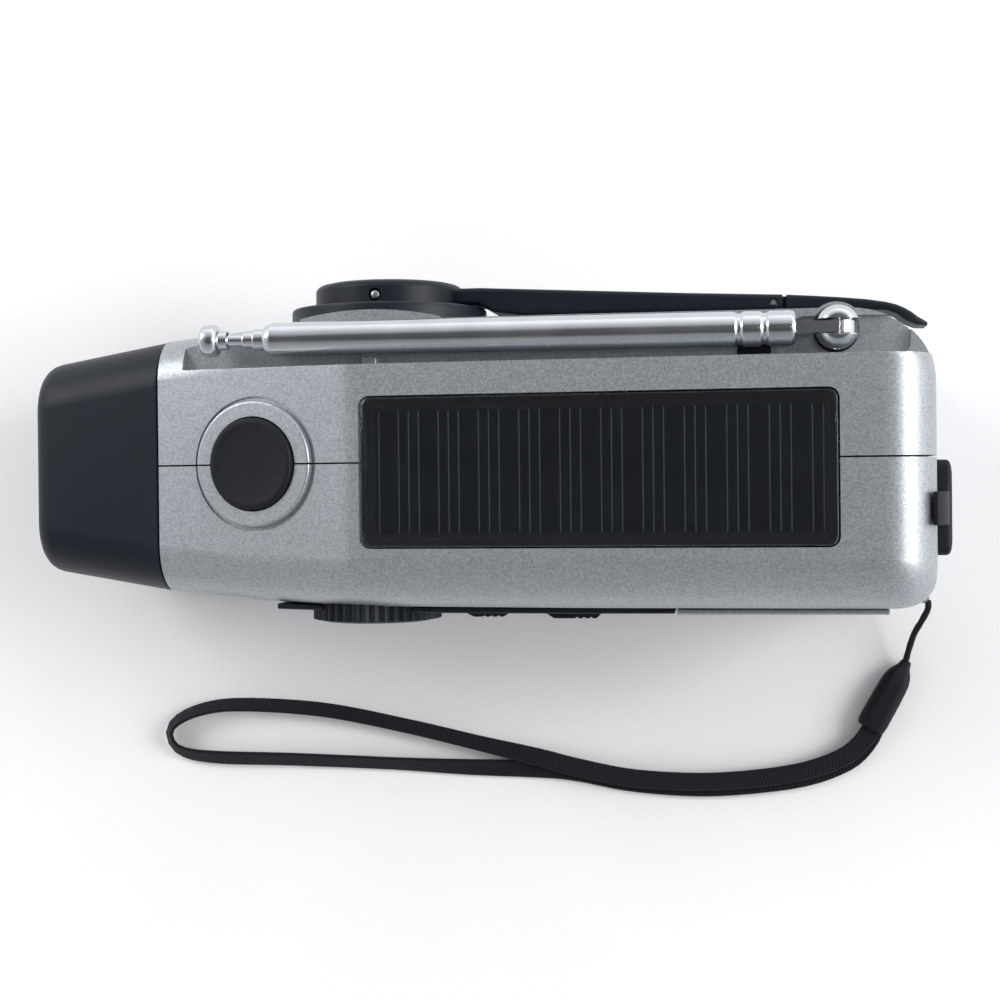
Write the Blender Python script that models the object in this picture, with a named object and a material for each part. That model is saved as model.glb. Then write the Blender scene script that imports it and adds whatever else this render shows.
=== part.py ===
"""Hand-crank emergency radio with a flashlight head, solar window and telescopic antenna.

Run it with: blender --background --python part.py
Dimensions are in millimetres and the mesh builder turns them into metres. +X points to the jack
end (the flashlight looks along -X), +Y to the crank side and +Z up. The origin is on the surface
that the radio stands on, under the middle of its box without the wrist strap.
"""
import math

import bmesh
import bpy
from mathutils import Matrix, Vector

MM = 0.001
GAP = 0.3

# Housing
SEAM_X = -57.6
RIGHT_X = 80.8
HEAD_X = -84.0
MID_Y = -2.6
BASE_Z = 2.0
TOP_Z = 60.0
WALL = 2.0
PANEL_TILT = math.radians(3.0)
BUTTON_TILT = math.radians(13.0)
SLOPE_START_X = 72.0
KNEE_X = -20.6
HALF_DEPTHS = ((-57.6, 23.3), (-38.0, 24.9), (-15.0, 25.7), (20.0, 25.9))

# Solar window
WINDOW_X = 22.9
WINDOW_Y = -4.3
WINDOW_LENGTH = 82.2
WINDOW_WIDTH = 26.2

# Light button
BUTTON_X = -38.3
BUTTON_Y = -2.5
BUTTON_R = 8.2
PLATEAU_R = 11.3

# Antenna
ANTENNA_X = 64.4
ANTENNA_Y = 19.6
ANTENNA_Z = 51.3
TUBE_R = 3.05
TUBE_MOUTH_X = -36.0
TUBE_END_X = 57.4
TONGUE_R = 2.5
POCKET_Z = 46.5
LEDGE_Z = 47.4
LIP_Z = 47.8
LEDGE_Y = 14.7

# Crank
HUB_X = -18.0
HUB_Z = 28.0
HUB_R = 13.9
CRANK_FACE_Y = 26.9
GRIP_X = 54.0
GRIP_Y = 26.05
MODULE = 1.0
CRANK_TEETH = 30
PINION_TEETH = 10
WHEEL_TEETH = 28
ROTOR_TEETH = 8

# Front controls
KNOB_X = -19.3
KNOB_Z = 36.0
KNOB_R = 11.9
SWITCH_Z = 33.0
SWITCH_XS = (1.1, 17.1)
SPEAKER_X = 55.0
SPEAKER_Z = 29.0

SCREW_PLACES = ((-48.0, 12.0), (-48.0, 32.0), (68.0, 24.0))
FOOT_PLACES = ((-50.0, -20.0), (-50.0, 14.0), (70.0, -20.0), (70.0, 12.0))
FOOT_R = 3.4

# Colours, linear RGB, then roughness and metallic
SILVER = ((0.36, 0.38, 0.40), 0.38, 0.55)
BLACK = ((0.011, 0.015, 0.020), 0.38, 0.0)
RUBBER = ((0.020, 0.022, 0.024), 0.70, 0.0)
CHROME = ((0.72, 0.73, 0.75), 0.12, 1.0)
STEEL = ((0.45, 0.45, 0.46), 0.35, 1.0)
CLEAR = ((0.03, 0.04, 0.05), 0.06, 0.0)
CELL = ((0.012, 0.018, 0.030), 0.25, 0.0)
BOARD = ((0.02, 0.16, 0.07), 0.45, 0.0)
NYLON = ((0.75, 0.74, 0.70), 0.45, 0.0)
FERRITE = ((0.05, 0.05, 0.05), 0.60, 0.0)
COPPER = ((0.65, 0.28, 0.13), 0.35, 1.0)
PAPER = ((0.30, 0.29, 0.26), 0.85, 0.0)
WRAP = ((0.03, 0.10, 0.28), 0.40, 0.0)
STRAP = ((0.012, 0.014, 0.017), 0.80, 0.0)

ROOT = None
PALETTE = {}


def clear_scene():
    for obj in list(bpy.data.objects):
        bpy.data.objects.remove(obj, do_unlink=True)


def material(finish):
    if finish not in PALETTE:
        mat = bpy.data.materials.new("finish_%02d" % len(PALETTE))
        mat.use_nodes = True
        shader = mat.node_tree.nodes["Principled BSDF"]
        colour, roughness, metallic = finish
        shader.inputs["Base Color"].default_value = (*colour, 1.0)
        shader.inputs["Roughness"].default_value = roughness
        shader.inputs["Metallic"].default_value = metallic
        PALETTE[finish] = mat
    return PALETTE[finish]


def add_object(name, bm, finish=None, origin=(0.0, 0.0, 0.0)):
    """Make an object from a millimetre mesh, with its origin on the given point."""
    bmesh.ops.recalc_face_normals(bm, faces=bm.faces)
    if bm.calc_volume(signed=True) < 0.0:
        bmesh.ops.reverse_faces(bm, faces=bm.faces)
    bm.transform(Matrix.Scale(MM, 4) @ Matrix.Translation(-Vector(origin)))
    mesh = bpy.data.meshes.new(name)
    bm.to_mesh(mesh)
    bm.free()
    obj = bpy.data.objects.new(name, mesh)
    obj.location = Vector(origin) * MM
    bpy.context.collection.objects.link(obj)
    if finish is not None:
        mesh.materials.append(material(finish))
        obj.parent = ROOT
        mesh.shade_smooth()
        mesh.set_sharp_from_angle(angle=math.radians(32.0))
    bpy.context.view_layer.update()
    return obj


def boolean(target, tools, operation="DIFFERENCE"):
    """Apply one boolean per tool and remove the tools."""
    for tool in tools:
        modifier = target.modifiers.new("cut", "BOOLEAN")
        modifier.operation = operation
        modifier.solver = "EXACT"
        modifier.object = tool
        bpy.context.view_layer.update()
        graph = bpy.context.evaluated_depsgraph_get()
        mesh = bpy.data.meshes.new_from_object(target.evaluated_get(graph))
        target.modifiers.clear()
        target.data = mesh
        bpy.data.objects.remove(tool, do_unlink=True)
    target.data.shade_smooth()
    target.data.set_sharp_from_angle(angle=math.radians(32.0))
    return target


def skin(rings, closed=False):
    """Join rings of equal length into one mesh; open stacks get flat end caps."""
    bm = bmesh.new()
    rows = [[bm.verts.new(point) for point in ring] for ring in rings]
    count = len(rows[0])
    last = len(rows) if closed else len(rows) - 1
    for i in range(last):
        here = rows[i]
        there = rows[(i + 1) % len(rows)]
        for j in range(count):
            k = (j + 1) % count
            bm.faces.new((here[j], here[k], there[k], there[j]))
    if not closed:
        bm.faces.new(rows[0])
        bm.faces.new(rows[-1])
    return bm


def prism(outline, axis, low, high):
    """Extrude a closed 2D outline along X, Y or Z; the outline takes the other two axes."""
    rings = []
    for level in (low, high):
        ring = []
        for a, b in outline:
            point = {"X": (level, a, b), "Y": (a, level, b), "Z": (a, b, level)}[axis]
            ring.append(point)
        rings.append(ring)
    return skin(rings)


def turned(profile, axis, centre, sides=32, closed=False):
    """Turn (distance along the axis, radius) pairs around an axis through the centre."""
    rings = []
    for along, radius in profile:
        ring = []
        for i in range(sides):
            angle = 2.0 * math.pi * i / sides
            a = radius * math.cos(angle)
            b = radius * math.sin(angle)
            x, y, z = centre
            if axis == "X":
                ring.append((x + along, y + a, z + b))
            elif axis == "Y":
                ring.append((x + a, y + along, z + b))
            else:
                ring.append((x + a, y + b, z + along))
        rings.append(ring)
    return skin(rings, closed)


def block(x0, x1, y0, y1, z0, z1, bevel=0.0, segments=2):
    bm = prism(((x0, y0), (x1, y0), (x1, y1), (x0, y1)), "Z", z0, z1)
    bmesh.ops.recalc_face_normals(bm, faces=bm.faces)
    if bevel:
        bmesh.ops.bevel(bm, geom=list(bm.edges), offset=bevel, segments=segments, profile=0.5,
                        affect="EDGES")
    return bm


def rounded_outline(a0, a1, b0, b1, radius, segments=5):
    """A rounded rectangle in two axes, counter-clockwise."""
    corners = ((a1 - radius, b0 + radius, -90.0), (a1 - radius, b1 - radius, 0.0),
               (a0 + radius, b1 - radius, 90.0), (a0 + radius, b0 + radius, 180.0))
    points = []
    for ca, cb, start in corners:
        for i in range(segments + 1):
            angle = math.radians(start + 90.0 * i / segments)
            points.append((ca + radius * math.cos(angle), cb + radius * math.sin(angle)))
    return points


def tilt(bm, angle, pivot):
    """Turn a mesh about a Y axis through the pivot; a positive angle lowers its -X end."""
    turn = Matrix.Rotation(-angle, 4, "Y")
    shift = Matrix.Translation(Vector(pivot))
    bm.transform(shift @ turn @ shift.inverted())
    return bm


def cutter(bm):
    return add_object("cutter", bm)


# ---------------------------------------------------------------- outer form of the housing

def half_depth(x):
    points = HALF_DEPTHS
    if x >= points[-1][0]:
        return points[-1][1]
    for (xa, da), (xb, db) in zip(points, points[1:]):
        if x <= xb:
            return da + (db - da) * (x - xa) / (xb - xa)
    return points[-1][1]


def top_height(x):
    """Height of the top: level, then 3 degrees down to the knee, then 13 degrees to the head."""
    height = TOP_Z - max(0.0, SLOPE_START_X - max(x, KNEE_X)) * math.tan(PANEL_TILT)
    return height - max(0.0, KNEE_X - x) * math.tan(BUTTON_TILT)


def quarter(x, start, length, depth):
    """Inset of a quarter-ellipse that begins at start and is depth deep at start + length."""
    if x <= start:
        return 0.0
    reach = min(1.0, (x - start) / length)
    return depth * (1.0 - math.sqrt(1.0 - reach * reach))


def body_ring(x, wall=0.0, segments=5):
    """One section of the housing, wall millimetres inside the outer surface."""
    limit = RIGHT_X - 0.001
    s = min(x + wall, limit) if x > 60.0 else x
    back = MID_Y + half_depth(x) - quarter(s, 66.0, 14.8, 12.0) - wall
    front = MID_Y - half_depth(x) + quarter(s, 74.0, 6.8, 5.0) + wall
    top = top_height(x) - quarter(s, 71.8, 9.0, 9.5) - wall
    base = BASE_Z + quarter(s, 75.0, 5.8, 5.0) + wall
    shrink = 0.6 * quarter(s, 71.8, 9.0, 9.5) + 0.7 * wall
    radii = (max(1.2, 5.0 - shrink), max(1.2, 5.0 - shrink), max(1.6, 8.0 - shrink),
             max(1.6, 9.0 - shrink))
    corners = ((front, base, 1, 1, 180.0, radii[0]), (back, base, -1, 1, 270.0, radii[1]),
               (back, top, -1, -1, 0.0, radii[2]), (front, top, 1, -1, 90.0, radii[3]))
    ring = []
    for y, z, sy, sz, start, radius in corners:
        for i in range(segments + 1):
            angle = math.radians(start + 90.0 * i / segments)
            ring.append((x, y + sy * radius + radius * math.cos(angle),
                         z + sz * radius + radius * math.sin(angle)))
    return ring


def end_stations(end, count=7):
    """Stations that crowd towards the rounded right end."""
    start = 66.0
    return [start + (end - start) * math.sin(0.5 * math.pi * i / count) for i in range(count + 1)]


def housing_solid():
    stations = [SEAM_X, -47.0, -38.0, -29.0, KNEE_X - 1.6, KNEE_X, KNEE_X + 1.6, -15.0, 20.0]
    stations += end_stations(RIGHT_X)
    body = add_object("housing", skin([body_ring(x) for x in stations]))
    ear = turned(((30.0, 4.75), (LIP_Z, 4.75)), "Z", (ANTENNA_X, ANTENNA_Y, 0.0), 28)
    crest_r = 57.0
    crest = []
    for i in range(13):
        angle = math.radians(-13.0 + 26.0 * i / 12)
        crest.append((HUB_X + crest_r * math.sin(angle), 25.0 - crest_r * (1.0 - math.cos(angle))))
    crest += [(HUB_X + 12.0, 20.0), (HUB_X - 12.0, 20.0)]
    boolean(body, [cutter(ear), cutter(prism(crest, "Z", 10.0, 50.0))], "UNION")
    ring = turned(((-6.0, PLATEAU_R), (0.75, PLATEAU_R), (1.0, PLATEAU_R - 0.5)), "Z",
                  button_centre(), 40)
    tilt(ring, BUTTON_TILT, button_centre())
    boolean(body, [cutter(ring)], "UNION")
    return body


def button_centre():
    return (BUTTON_X, BUTTON_Y, top_height(BUTTON_X))


def window_centre():
    return (WINDOW_X, WINDOW_Y, top_height(WINDOW_X))


def ledge(wall=0.0):
    """The space above the step that the antenna lies on, grown by a wall on its lower sides."""
    left = -52.6 - wall
    side = ((left, 45.3 - wall), (-22.0, LEDGE_Z - wall), (54.0, LEDGE_Z - wall),
            (54.0, LIP_Z - wall), (90.0, LIP_Z - wall), (90.0, 70.0), (-49.5 - wall, 70.0),
            (left, 60.0))
    rings = []
    for y in (LEDGE_Y - wall, 60.0):
        rings.append([(x, y, z) for x, z in side])
    return cutter(skin(rings))


def cavity():
    """The inside of the housing, open at the head end and clear of the antenna step."""
    end = RIGHT_X - WALL
    stations = [SEAM_X - 5.0, SEAM_X, -38.0, KNEE_X - 1.6, KNEE_X + 1.6, -15.0, 20.0]
    stations += end_stations(end, 4)
    inside = cutter(skin([body_ring(x, WALL, 4) for x in stations]))
    return boolean(inside, [ledge(WALL)])


def ledge_cutters():
    """The antenna's step, the pocket around the swivel base and the round bay under it."""
    pocket_outline = rounded_outline(56.5, 77.0, LEDGE_Y, 21.9, 2.6, 5)
    pocket = cutter(prism(pocket_outline, "Z", POCKET_Z, 60.0))
    bay = cutter(turned(((POCKET_Z, 4.2), (60.0, 4.2)), "Z", (ANTENNA_X, ANTENNA_Y, 0.0), 28))
    return [ledge(), pocket, bay]


def side_cutters():
    """Openings in the front and back walls."""
    hub_hole = turned(((10.0, 14.6), (40.0, 14.6)), "Y", (HUB_X, 0.0, HUB_Z), 40)
    bezel_seat = turned(((23.0, 18.8), (40.0, 18.8)), "Y", (HUB_X, 0.0, HUB_Z), 48)
    return [cutter(hub_hole), cutter(bezel_seat)]


def top_cutters():
    """The window opening, the light button's hole and the groove around its plateau."""
    x, y, z = window_centre()
    outline = rounded_outline(x - 41.4, x + 41.4, y - 13.4, y + 13.4, 1.9, 4)
    window = tilt(prism(outline, "Z", z - 9.0, z + 6.0), PANEL_TILT, (x, y, z))
    centre = button_centre()
    hole = tilt(turned(((-12.0, 8.5), (8.0, 8.5)), "Z", centre, 40), BUTTON_TILT, centre)
    groove = turned(((-0.5, PLATEAU_R + 0.02), (-0.5, PLATEAU_R + 0.75), (3.0, PLATEAU_R + 0.75),
                     (3.0, PLATEAU_R + 0.02)), "Z", centre, 40, closed=True)
    tilt(groove, BUTTON_TILT, centre)
    return [cutter(window), cutter(hole), cutter(groove)]


def shell_from(body, name, y0, y1):
    """The part of the housing between two Y planes, as its own object."""
    shell = bpy.data.objects.new(name, body.data.copy())
    bpy.context.collection.objects.link(shell)
    shell.parent = ROOT
    shell.data.materials.append(material(SILVER))
    return boolean(shell, [cutter(block(-120.0, 120.0, y0, y1, -20.0, 90.0))], "INTERSECT")


def shells():
    body = housing_solid()
    boolean(body, ledge_cutters() + [cavity()] + top_cutters())
    front = shell_from(body, "front_shell", -80.0, MID_Y - 0.5 * GAP)
    rear = shell_from(body, "rear_shell", MID_Y + 0.5 * GAP, 80.0)
    bpy.data.objects.remove(body, do_unlink=True)
    boolean(rear, side_cutters() + rear_openings())
    clip = block(-18.9, -16.3, 14.8, 16.5, LEDGE_Z - 0.5, 49.4, 0.3, 1)
    stop = block(19.0, 22.0, 21.4, 23.0, LEDGE_Z - 0.5, 48.0, 0.2, 1)
    boolean(rear, [cutter(clip), cutter(stop)], "UNION")
    boolean(front, front_openings())


def rear_openings():
    cover = block(25.0, 71.0, 1.2, 17.8, 0.0, 6.0)
    stem = turned(((40.0, 2.35), (60.0, 2.35)), "Z", (ANTENNA_X, ANTENNA_Y, 0.0), 20)
    tools = [cutter(cover), cutter(stem)]
    for x, z in SCREW_PLACES:
        tools.append(cutter(turned(((10.0, 1.2), (40.0, 1.2)), "Y", (x, 0.0, z), 12)))
        tools.append(cutter(turned(((screw_face(x) - 1.1, 2.3), (40.0, 2.3)), "Y", (x, 0.0, z), 16)))
    return tools


def screw_face(x):
    return MID_Y + half_depth(x) - quarter(x, 66.0, 14.8, 12.0)


def control_holes():
    """Cutters for the tuning knob and for the two slots that the sliders run in."""
    knob = turned(((-40.0, KNOB_R + 0.4), (-20.0, KNOB_R + 0.4)), "Y", (KNOB_X, 0.0, KNOB_Z), 40)
    tools = [cutter(knob)]
    for x in SWITCH_XS:
        tools.append(cutter(block(x - 3.6, x + 7.6, -40.0, -20.0, SWITCH_Z - 1.7, SWITCH_Z + 1.7)))
    return tools


def front_openings():
    """Holes for the controls and the speaker, and the jack window in the end wall."""
    speaker = turned(((-40.0, 15.5), (-20.0, 15.5)), "Y", (SPEAKER_X, 0.0, SPEAKER_Z), 32)
    jacks = block(74.0, 90.0, -17.0, -5.4, 20.5, 43.5)
    return control_holes() + [cutter(speaker), cutter(jacks)]


# ---------------------------------------------------------------- flashlight head

def head_ring(x, inset=0.0, radius=9.0, segments=5):
    """A section of the head: the housing's end section, tapering towards the lens."""
    t = (SEAM_X - x) / (SEAM_X - HEAD_X)
    depth = half_depth(SEAM_X) - 3.9 * t - inset
    base = BASE_Z + 1.0 + 2.6 * t + inset
    top = top_height(SEAM_X) - 5.6 * t - inset
    r = max(2.0, radius - inset)
    outline = rounded_outline(MID_Y - depth, MID_Y + depth, base, top, r, segments)
    return [(x, y, z) for y, z in outline]


def flashlight_head():
    seam = SEAM_X - GAP
    outer = [head_ring(seam, 0.35), head_ring(seam - 0.4, 0.0), head_ring(-70.0), head_ring(-81.4),
             head_ring(-82.6, 0.5), head_ring(HEAD_X + 0.6, 1.5), head_ring(HEAD_X, 3.0)]
    inner = [head_ring(HEAD_X, 4.0), head_ring(HEAD_X + 2.4, 4.2), head_ring(HEAD_X + 2.4, 2.6),
             head_ring(-70.0, 2.2), head_ring(seam, 2.4)]
    add_object("head_bezel", skin(outer + inner, closed=True), BLACK)

    flange = [head_ring(HEAD_X + 3.6, 3.1), head_ring(HEAD_X + 2.7, 3.1)]
    face = [head_ring(HEAD_X + 2.65, 4.55), head_ring(HEAD_X + 1.5, 4.6),
            head_ring(HEAD_X + 1.0, 5.6)]
    add_object("lens", skin(flange + face), CLEAR)

    centre_z = 0.5 * (BASE_Z + 2.3 + top_height(SEAM_X) - 2.8)
    cup = ((3.6, 13.4), (4.4, 13.0), (8.0, 11.2), (12.4, 8.0), (15.0, 4.6), (16.2, 4.6),
           (13.8, 9.0), (9.0, 12.2), (5.0, 14.2), (4.6, 14.8), (3.6, 14.8))
    centre = (HEAD_X + 1.2, MID_Y, centre_z)
    add_object("reflector", turned(cup, "X", centre, 32, closed=True), CHROME)
    led = ((11.0, 0.9), (11.7, 2.0), (12.6, 2.5), (17.6, 2.5), (17.6, 2.9), (18.6, 2.9))
    add_object("flashlight_led", turned(led, "X", centre, 16), CLEAR)
    board = turned(((19.0, 11.0), (20.4, 11.0)), "X", centre, 28)
    add_object("led_board", board, BOARD)


# ---------------------------------------------------------------- top: window and light button

def solar_window():
    x, y, z = window_centre()
    half_x = WINDOW_LENGTH / 2
    half_y = WINDOW_WIDTH / 2
    rings = []
    for level, inset, radius in ((-3.0, 0.0, 1.6), (-0.5, 0.0, 1.6), (-0.1, 0.35, 1.4)):
        outline = rounded_outline(x - half_x + inset, x + half_x - inset, y - half_y + inset,
                                  y + half_y - inset, radius, 4)
        rings.append([(a, b, z + level) for a, b in outline])
    add_object("window_cover", tilt(skin(rings), PANEL_TILT, (x, y, z)), CLEAR)
    cell = block(x - 39.2, x + 39.2, y - 10.9, y + 10.9, z - 4.5, z - 3.3)
    add_object("solar_cell", tilt(cell, PANEL_TILT, (x, y, z)), CELL)


def light_button():
    centre = button_centre()
    cap = ((-4.2, 3.0), (-2.6, 3.0), (-2.6, BUTTON_R), (1.5, BUTTON_R), (2.0, BUTTON_R - 0.5),
           (1.75, 5.5), (1.6, 2.0))
    button = tilt(turned(cap, "Z", centre, 40), BUTTON_TILT, centre)
    add_object("light_button", button, RUBBER, centre)
    lower = Vector(centre) - 7.6 * button_normal()
    switch = block(-3.0, 3.0, -3.0, 3.0, -1.6, 1.6)
    bmesh.ops.translate(switch, vec=lower, verts=switch.verts)
    add_object("light_switch", tilt(switch, BUTTON_TILT, lower), BLACK)


def button_normal():
    return Vector((-math.sin(BUTTON_TILT), 0.0, math.cos(BUTTON_TILT)))


# ---------------------------------------------------------------- antenna

def swivel_base():
    """The slotted turning base, its washer and the cross pin that the tube tips on."""
    pivot = (ANTENNA_X, ANTENNA_Y, ANTENNA_Z)
    foot = (ANTENNA_X, ANTENNA_Y, POCKET_Z)
    washer = ((0.2, 2.4), (0.2, 3.95), (0.9, 3.95), (0.9, 2.4))
    add_object("antenna_washer", turned(washer, "Z", foot, 28, closed=True), RUBBER)

    stem = ((-5.5, 1.7), (-5.1, 2.1), (1.1, 2.1), (1.1, 3.4), (1.4, 3.7), (6.7, 3.7), (8.1, 3.1),
            (8.7, 2.2))
    base = add_object("antenna_base", turned(stem, "Z", foot, 32), CHROME, pivot)
    slot = block(ANTENNA_X - 10.0, ANTENNA_X + 10.0, ANTENNA_Y - 1.3, ANTENNA_Y + 1.3,
                 POCKET_Z + 1.6, 60.0)
    pin_hole = turned(((-10.0, 0.8), (10.0, 0.8)), "Y", pivot, 16)
    boolean(base, [cutter(slot), cutter(pin_hole)])
    add_object("antenna_pin", turned(((-3.3, 0.6), (3.3, 0.6)), "Y", pivot, 16), STEEL)


def antenna_tube():
    """The outer tube: rolled mouth, two crimps, an end collar and the flattened tongue."""
    pivot = (ANTENNA_X, ANTENNA_Y, ANTENNA_Z)
    crimp_r = TUBE_R - 0.35
    profile = [(TUBE_MOUTH_X, 2.2), (TUBE_MOUTH_X + 0.2, 2.5), (TUBE_MOUTH_X + 1.6, TUBE_R)]
    for crimp_x in (46.9, 51.3):
        profile += [(crimp_x, TUBE_R), (crimp_x + 0.4, crimp_r), (crimp_x + 1.2, crimp_r),
                    (crimp_x + 1.6, TUBE_R)]
    profile += [(TUBE_END_X - 0.7, TUBE_R), (TUBE_END_X, 2.4)]
    axis = (0.0, ANTENNA_Y, ANTENNA_Z)
    outer = add_object("antenna_tube", turned(profile, "X", axis, 24), CHROME, pivot)
    side = [(ANTENNA_X - 9.0, ANTENNA_Z - 2.0), (ANTENNA_X, ANTENNA_Z - TONGUE_R)]
    for i in range(1, 9):
        angle = math.radians(-90.0 + 180.0 * i / 8)
        side.append((ANTENNA_X + 1.16 * TONGUE_R * math.cos(angle),
                     ANTENNA_Z + TONGUE_R * math.sin(angle)))
    side.append((ANTENNA_X - 9.0, ANTENNA_Z + 2.0))
    boolean(outer, [cutter(prism(side, "Y", ANTENNA_Y - 1.0, ANTENNA_Y + 1.0))], "UNION")
    bore = turned(((TUBE_MOUTH_X - 10.0, 2.15), (50.0, 2.15)), "X", axis, 16)
    pin_hole = turned(((-5.0, 0.8), (5.0, 0.8)), "Y", pivot, 16)
    boolean(outer, [cutter(bore), cutter(pin_hole)])


def antenna():
    swivel_base()
    antenna_tube()
    axis = (0.0, ANTENNA_Y, ANTENNA_Z)
    stages = (("antenna_stage_2", -38.0, 44.0, 1.95, 1.72),
              ("antenna_stage_3", -40.0, 42.0, 1.5, 1.28))
    for name, start, end, radius, inner in stages:
        profile = ((start, inner), (start, radius - 0.1), (start + 0.3, radius),
                   (end, radius), (end, inner))
        stage = turned(profile, "X", axis, 16, closed=True)
        add_object(name, stage, CHROME, (start, ANTENNA_Y, ANTENNA_Z))
    rod = ((-47.9, 1.6), (-47.6, 2.5), (-46.9, 2.9), (-45.2, 2.9), (-44.5, 2.5), (-44.2, 1.7),
           (-42.8, 1.7), (-42.6, 1.08), (40.0, 1.08))
    add_object("antenna_rod", turned(rod, "X", axis, 16), CHROME, (-46.0, ANTENNA_Y, ANTENNA_Z))
    rest = block(47.4, 53.2, 15.6, 21.6, LEDGE_Z + GAP, LEDGE_Z + 0.65)
    add_object("antenna_rest", rest, RUBBER)


# ---------------------------------------------------------------- crank and dynamo

def crank():
    axis_point = (HUB_X, CRANK_FACE_Y, HUB_Z)
    bezel = ((23.3, 14.9), (23.3, 18.4), (26.2, 18.4), (26.6, 18.0), (26.6, 14.9))
    add_object("crank_bezel", turned(bezel, "Y", (HUB_X, 0.0, HUB_Z), 48, closed=True), BLACK)

    hub = ((21.8, 4.5), (21.8, HUB_R), (30.0, HUB_R), (30.9, HUB_R - 0.8), (31.4, HUB_R - 3.6),
           (31.5, 3.0))
    handle = add_object("crank_handle", turned(hub, "Y", (HUB_X, 0.0, HUB_Z), 40), BLACK, axis_point)
    arm = cutter(skin([arm_ring(x) for x in (HUB_X, 0.0, 2.4, 8.0, 20.0, 38.0, GRIP_X + 1.6)]))
    boolean(handle, [arm], "UNION")
    fork = cutter(block(GRIP_X - 2.4, 80.0, 15.0, 40.0, HUB_Z - 2.6, HUB_Z + 2.6))
    pin_hole = cutter(turned(((-20.0, 0.75), (20.0, 0.75)), "Z", (GRIP_X, GRIP_Y, HUB_Z), 12))
    cross_hole = cutter(turned(((-20.0, 1.15), (20.0, 1.15)), "Z", (HUB_X, 28.3, HUB_Z), 14))
    shaft_hole = cutter(turned(((10.0, 2.3), (30.4, 2.3)), "Y", (HUB_X, 0.0, HUB_Z), 16))
    boolean(handle, [fork, pin_hole, cross_hole, shaft_hole])

    shaft = add_object("crank_shaft", turned(((6.4, 1.7), (6.8, 2.0), (30.1, 2.0)), "Y",
                                             (HUB_X, 0.0, HUB_Z), 16), STEEL, axis_point)
    cross = cutter(turned(((-20.0, 1.15), (20.0, 1.15)), "Z", (HUB_X, 28.3, HUB_Z), 14))
    boolean(shaft, [cross])
    pin = turned(((-13.7, 0.85), (13.7, 0.85)), "Z", (HUB_X, 28.3, HUB_Z), 14)
    add_object("crank_cross_pin", pin, STEEL)

    grip()


def arm_ring(x):
    """Section of the crank arm at x: thick by the hub, thin at the far end."""
    reach = x - HUB_X
    inner = 24.75
    if reach < 20.4:
        inner = CRANK_FACE_Y
    elif reach < 26.0:
        inner = 25.5
    outer = 30.0 - 1.9 * max(0.0, x) / 39.0
    if x > 39.0:
        outer = 28.1 - 0.6 * (x - 39.0) / 15.0
    half = 5.2 - 0.5 * max(0.0, x) / 80.0
    outline = rounded_outline(inner, outer, HUB_Z - half, HUB_Z + half, 0.8, 3)
    return [(x, y, z) for y, z in outline]


def grip():
    """The folding grip: a paddle in line with the arm whose tip hooks round the corner."""
    stations = ((GRIP_X + 2.3, 24.75, 27.4, 4.7), (66.0, 24.6, 26.7, 4.7), (74.0, 24.2, 25.7, 4.6),
                (77.4, 22.4, 24.5, 4.5), (79.6, 21.4, 23.0, 4.2), (81.4, 21.3, 21.9, 3.6))
    rings = []
    for x, inner, outer, half in stations:
        radius = min(0.7, 0.45 * (outer - inner))
        outline = rounded_outline(inner, outer, HUB_Z - half, HUB_Z + half, radius, 3)
        rings.append([(x, y, z) for y, z in outline])
    handle = add_object("crank_grip", skin(rings), BLACK, (GRIP_X, GRIP_Y, HUB_Z))
    lobe = [(GRIP_X + 3.0, GRIP_Y - 1.2), (GRIP_X + 3.0, GRIP_Y + 1.2)]
    for i in range(9):
        angle = math.radians(90.0 + 180.0 * i / 8)
        lobe.append((GRIP_X + 1.25 * math.cos(angle), GRIP_Y + 1.25 * math.sin(angle)))
    boolean(handle, [cutter(prism(lobe, "Z", HUB_Z - 2.3, HUB_Z + 2.3))], "UNION")
    hole = turned(((-20.0, 0.75), (20.0, 0.75)), "Z", (GRIP_X, GRIP_Y, HUB_Z), 12)
    boolean(handle, [cutter(hole)])
    pin = turned(((-4.3, 0.5), (4.3, 0.5)), "Z", (GRIP_X, GRIP_Y, HUB_Z), 12)
    add_object("grip_pin", pin, STEEL)


def gear_outline(cx, cz, teeth, turn=0.0):
    """Tooth outline of a spur gear: slim straight-flanked teeth with running backlash."""
    pitch_r = 0.5 * MODULE * teeth
    step = 2.0 * math.pi / teeth
    levels = ((pitch_r - 1.05, -0.30), (pitch_r, -0.20), (pitch_r + 0.75, -0.09),
              (pitch_r + 0.75, 0.09), (pitch_r, 0.20), (pitch_r - 1.05, 0.30))
    points = []
    for i in range(teeth):
        for radius, offset in levels:
            angle = turn + step * (i + offset)
            points.append((cx + radius * math.cos(angle), cz + radius * math.sin(angle)))
    return points


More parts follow.
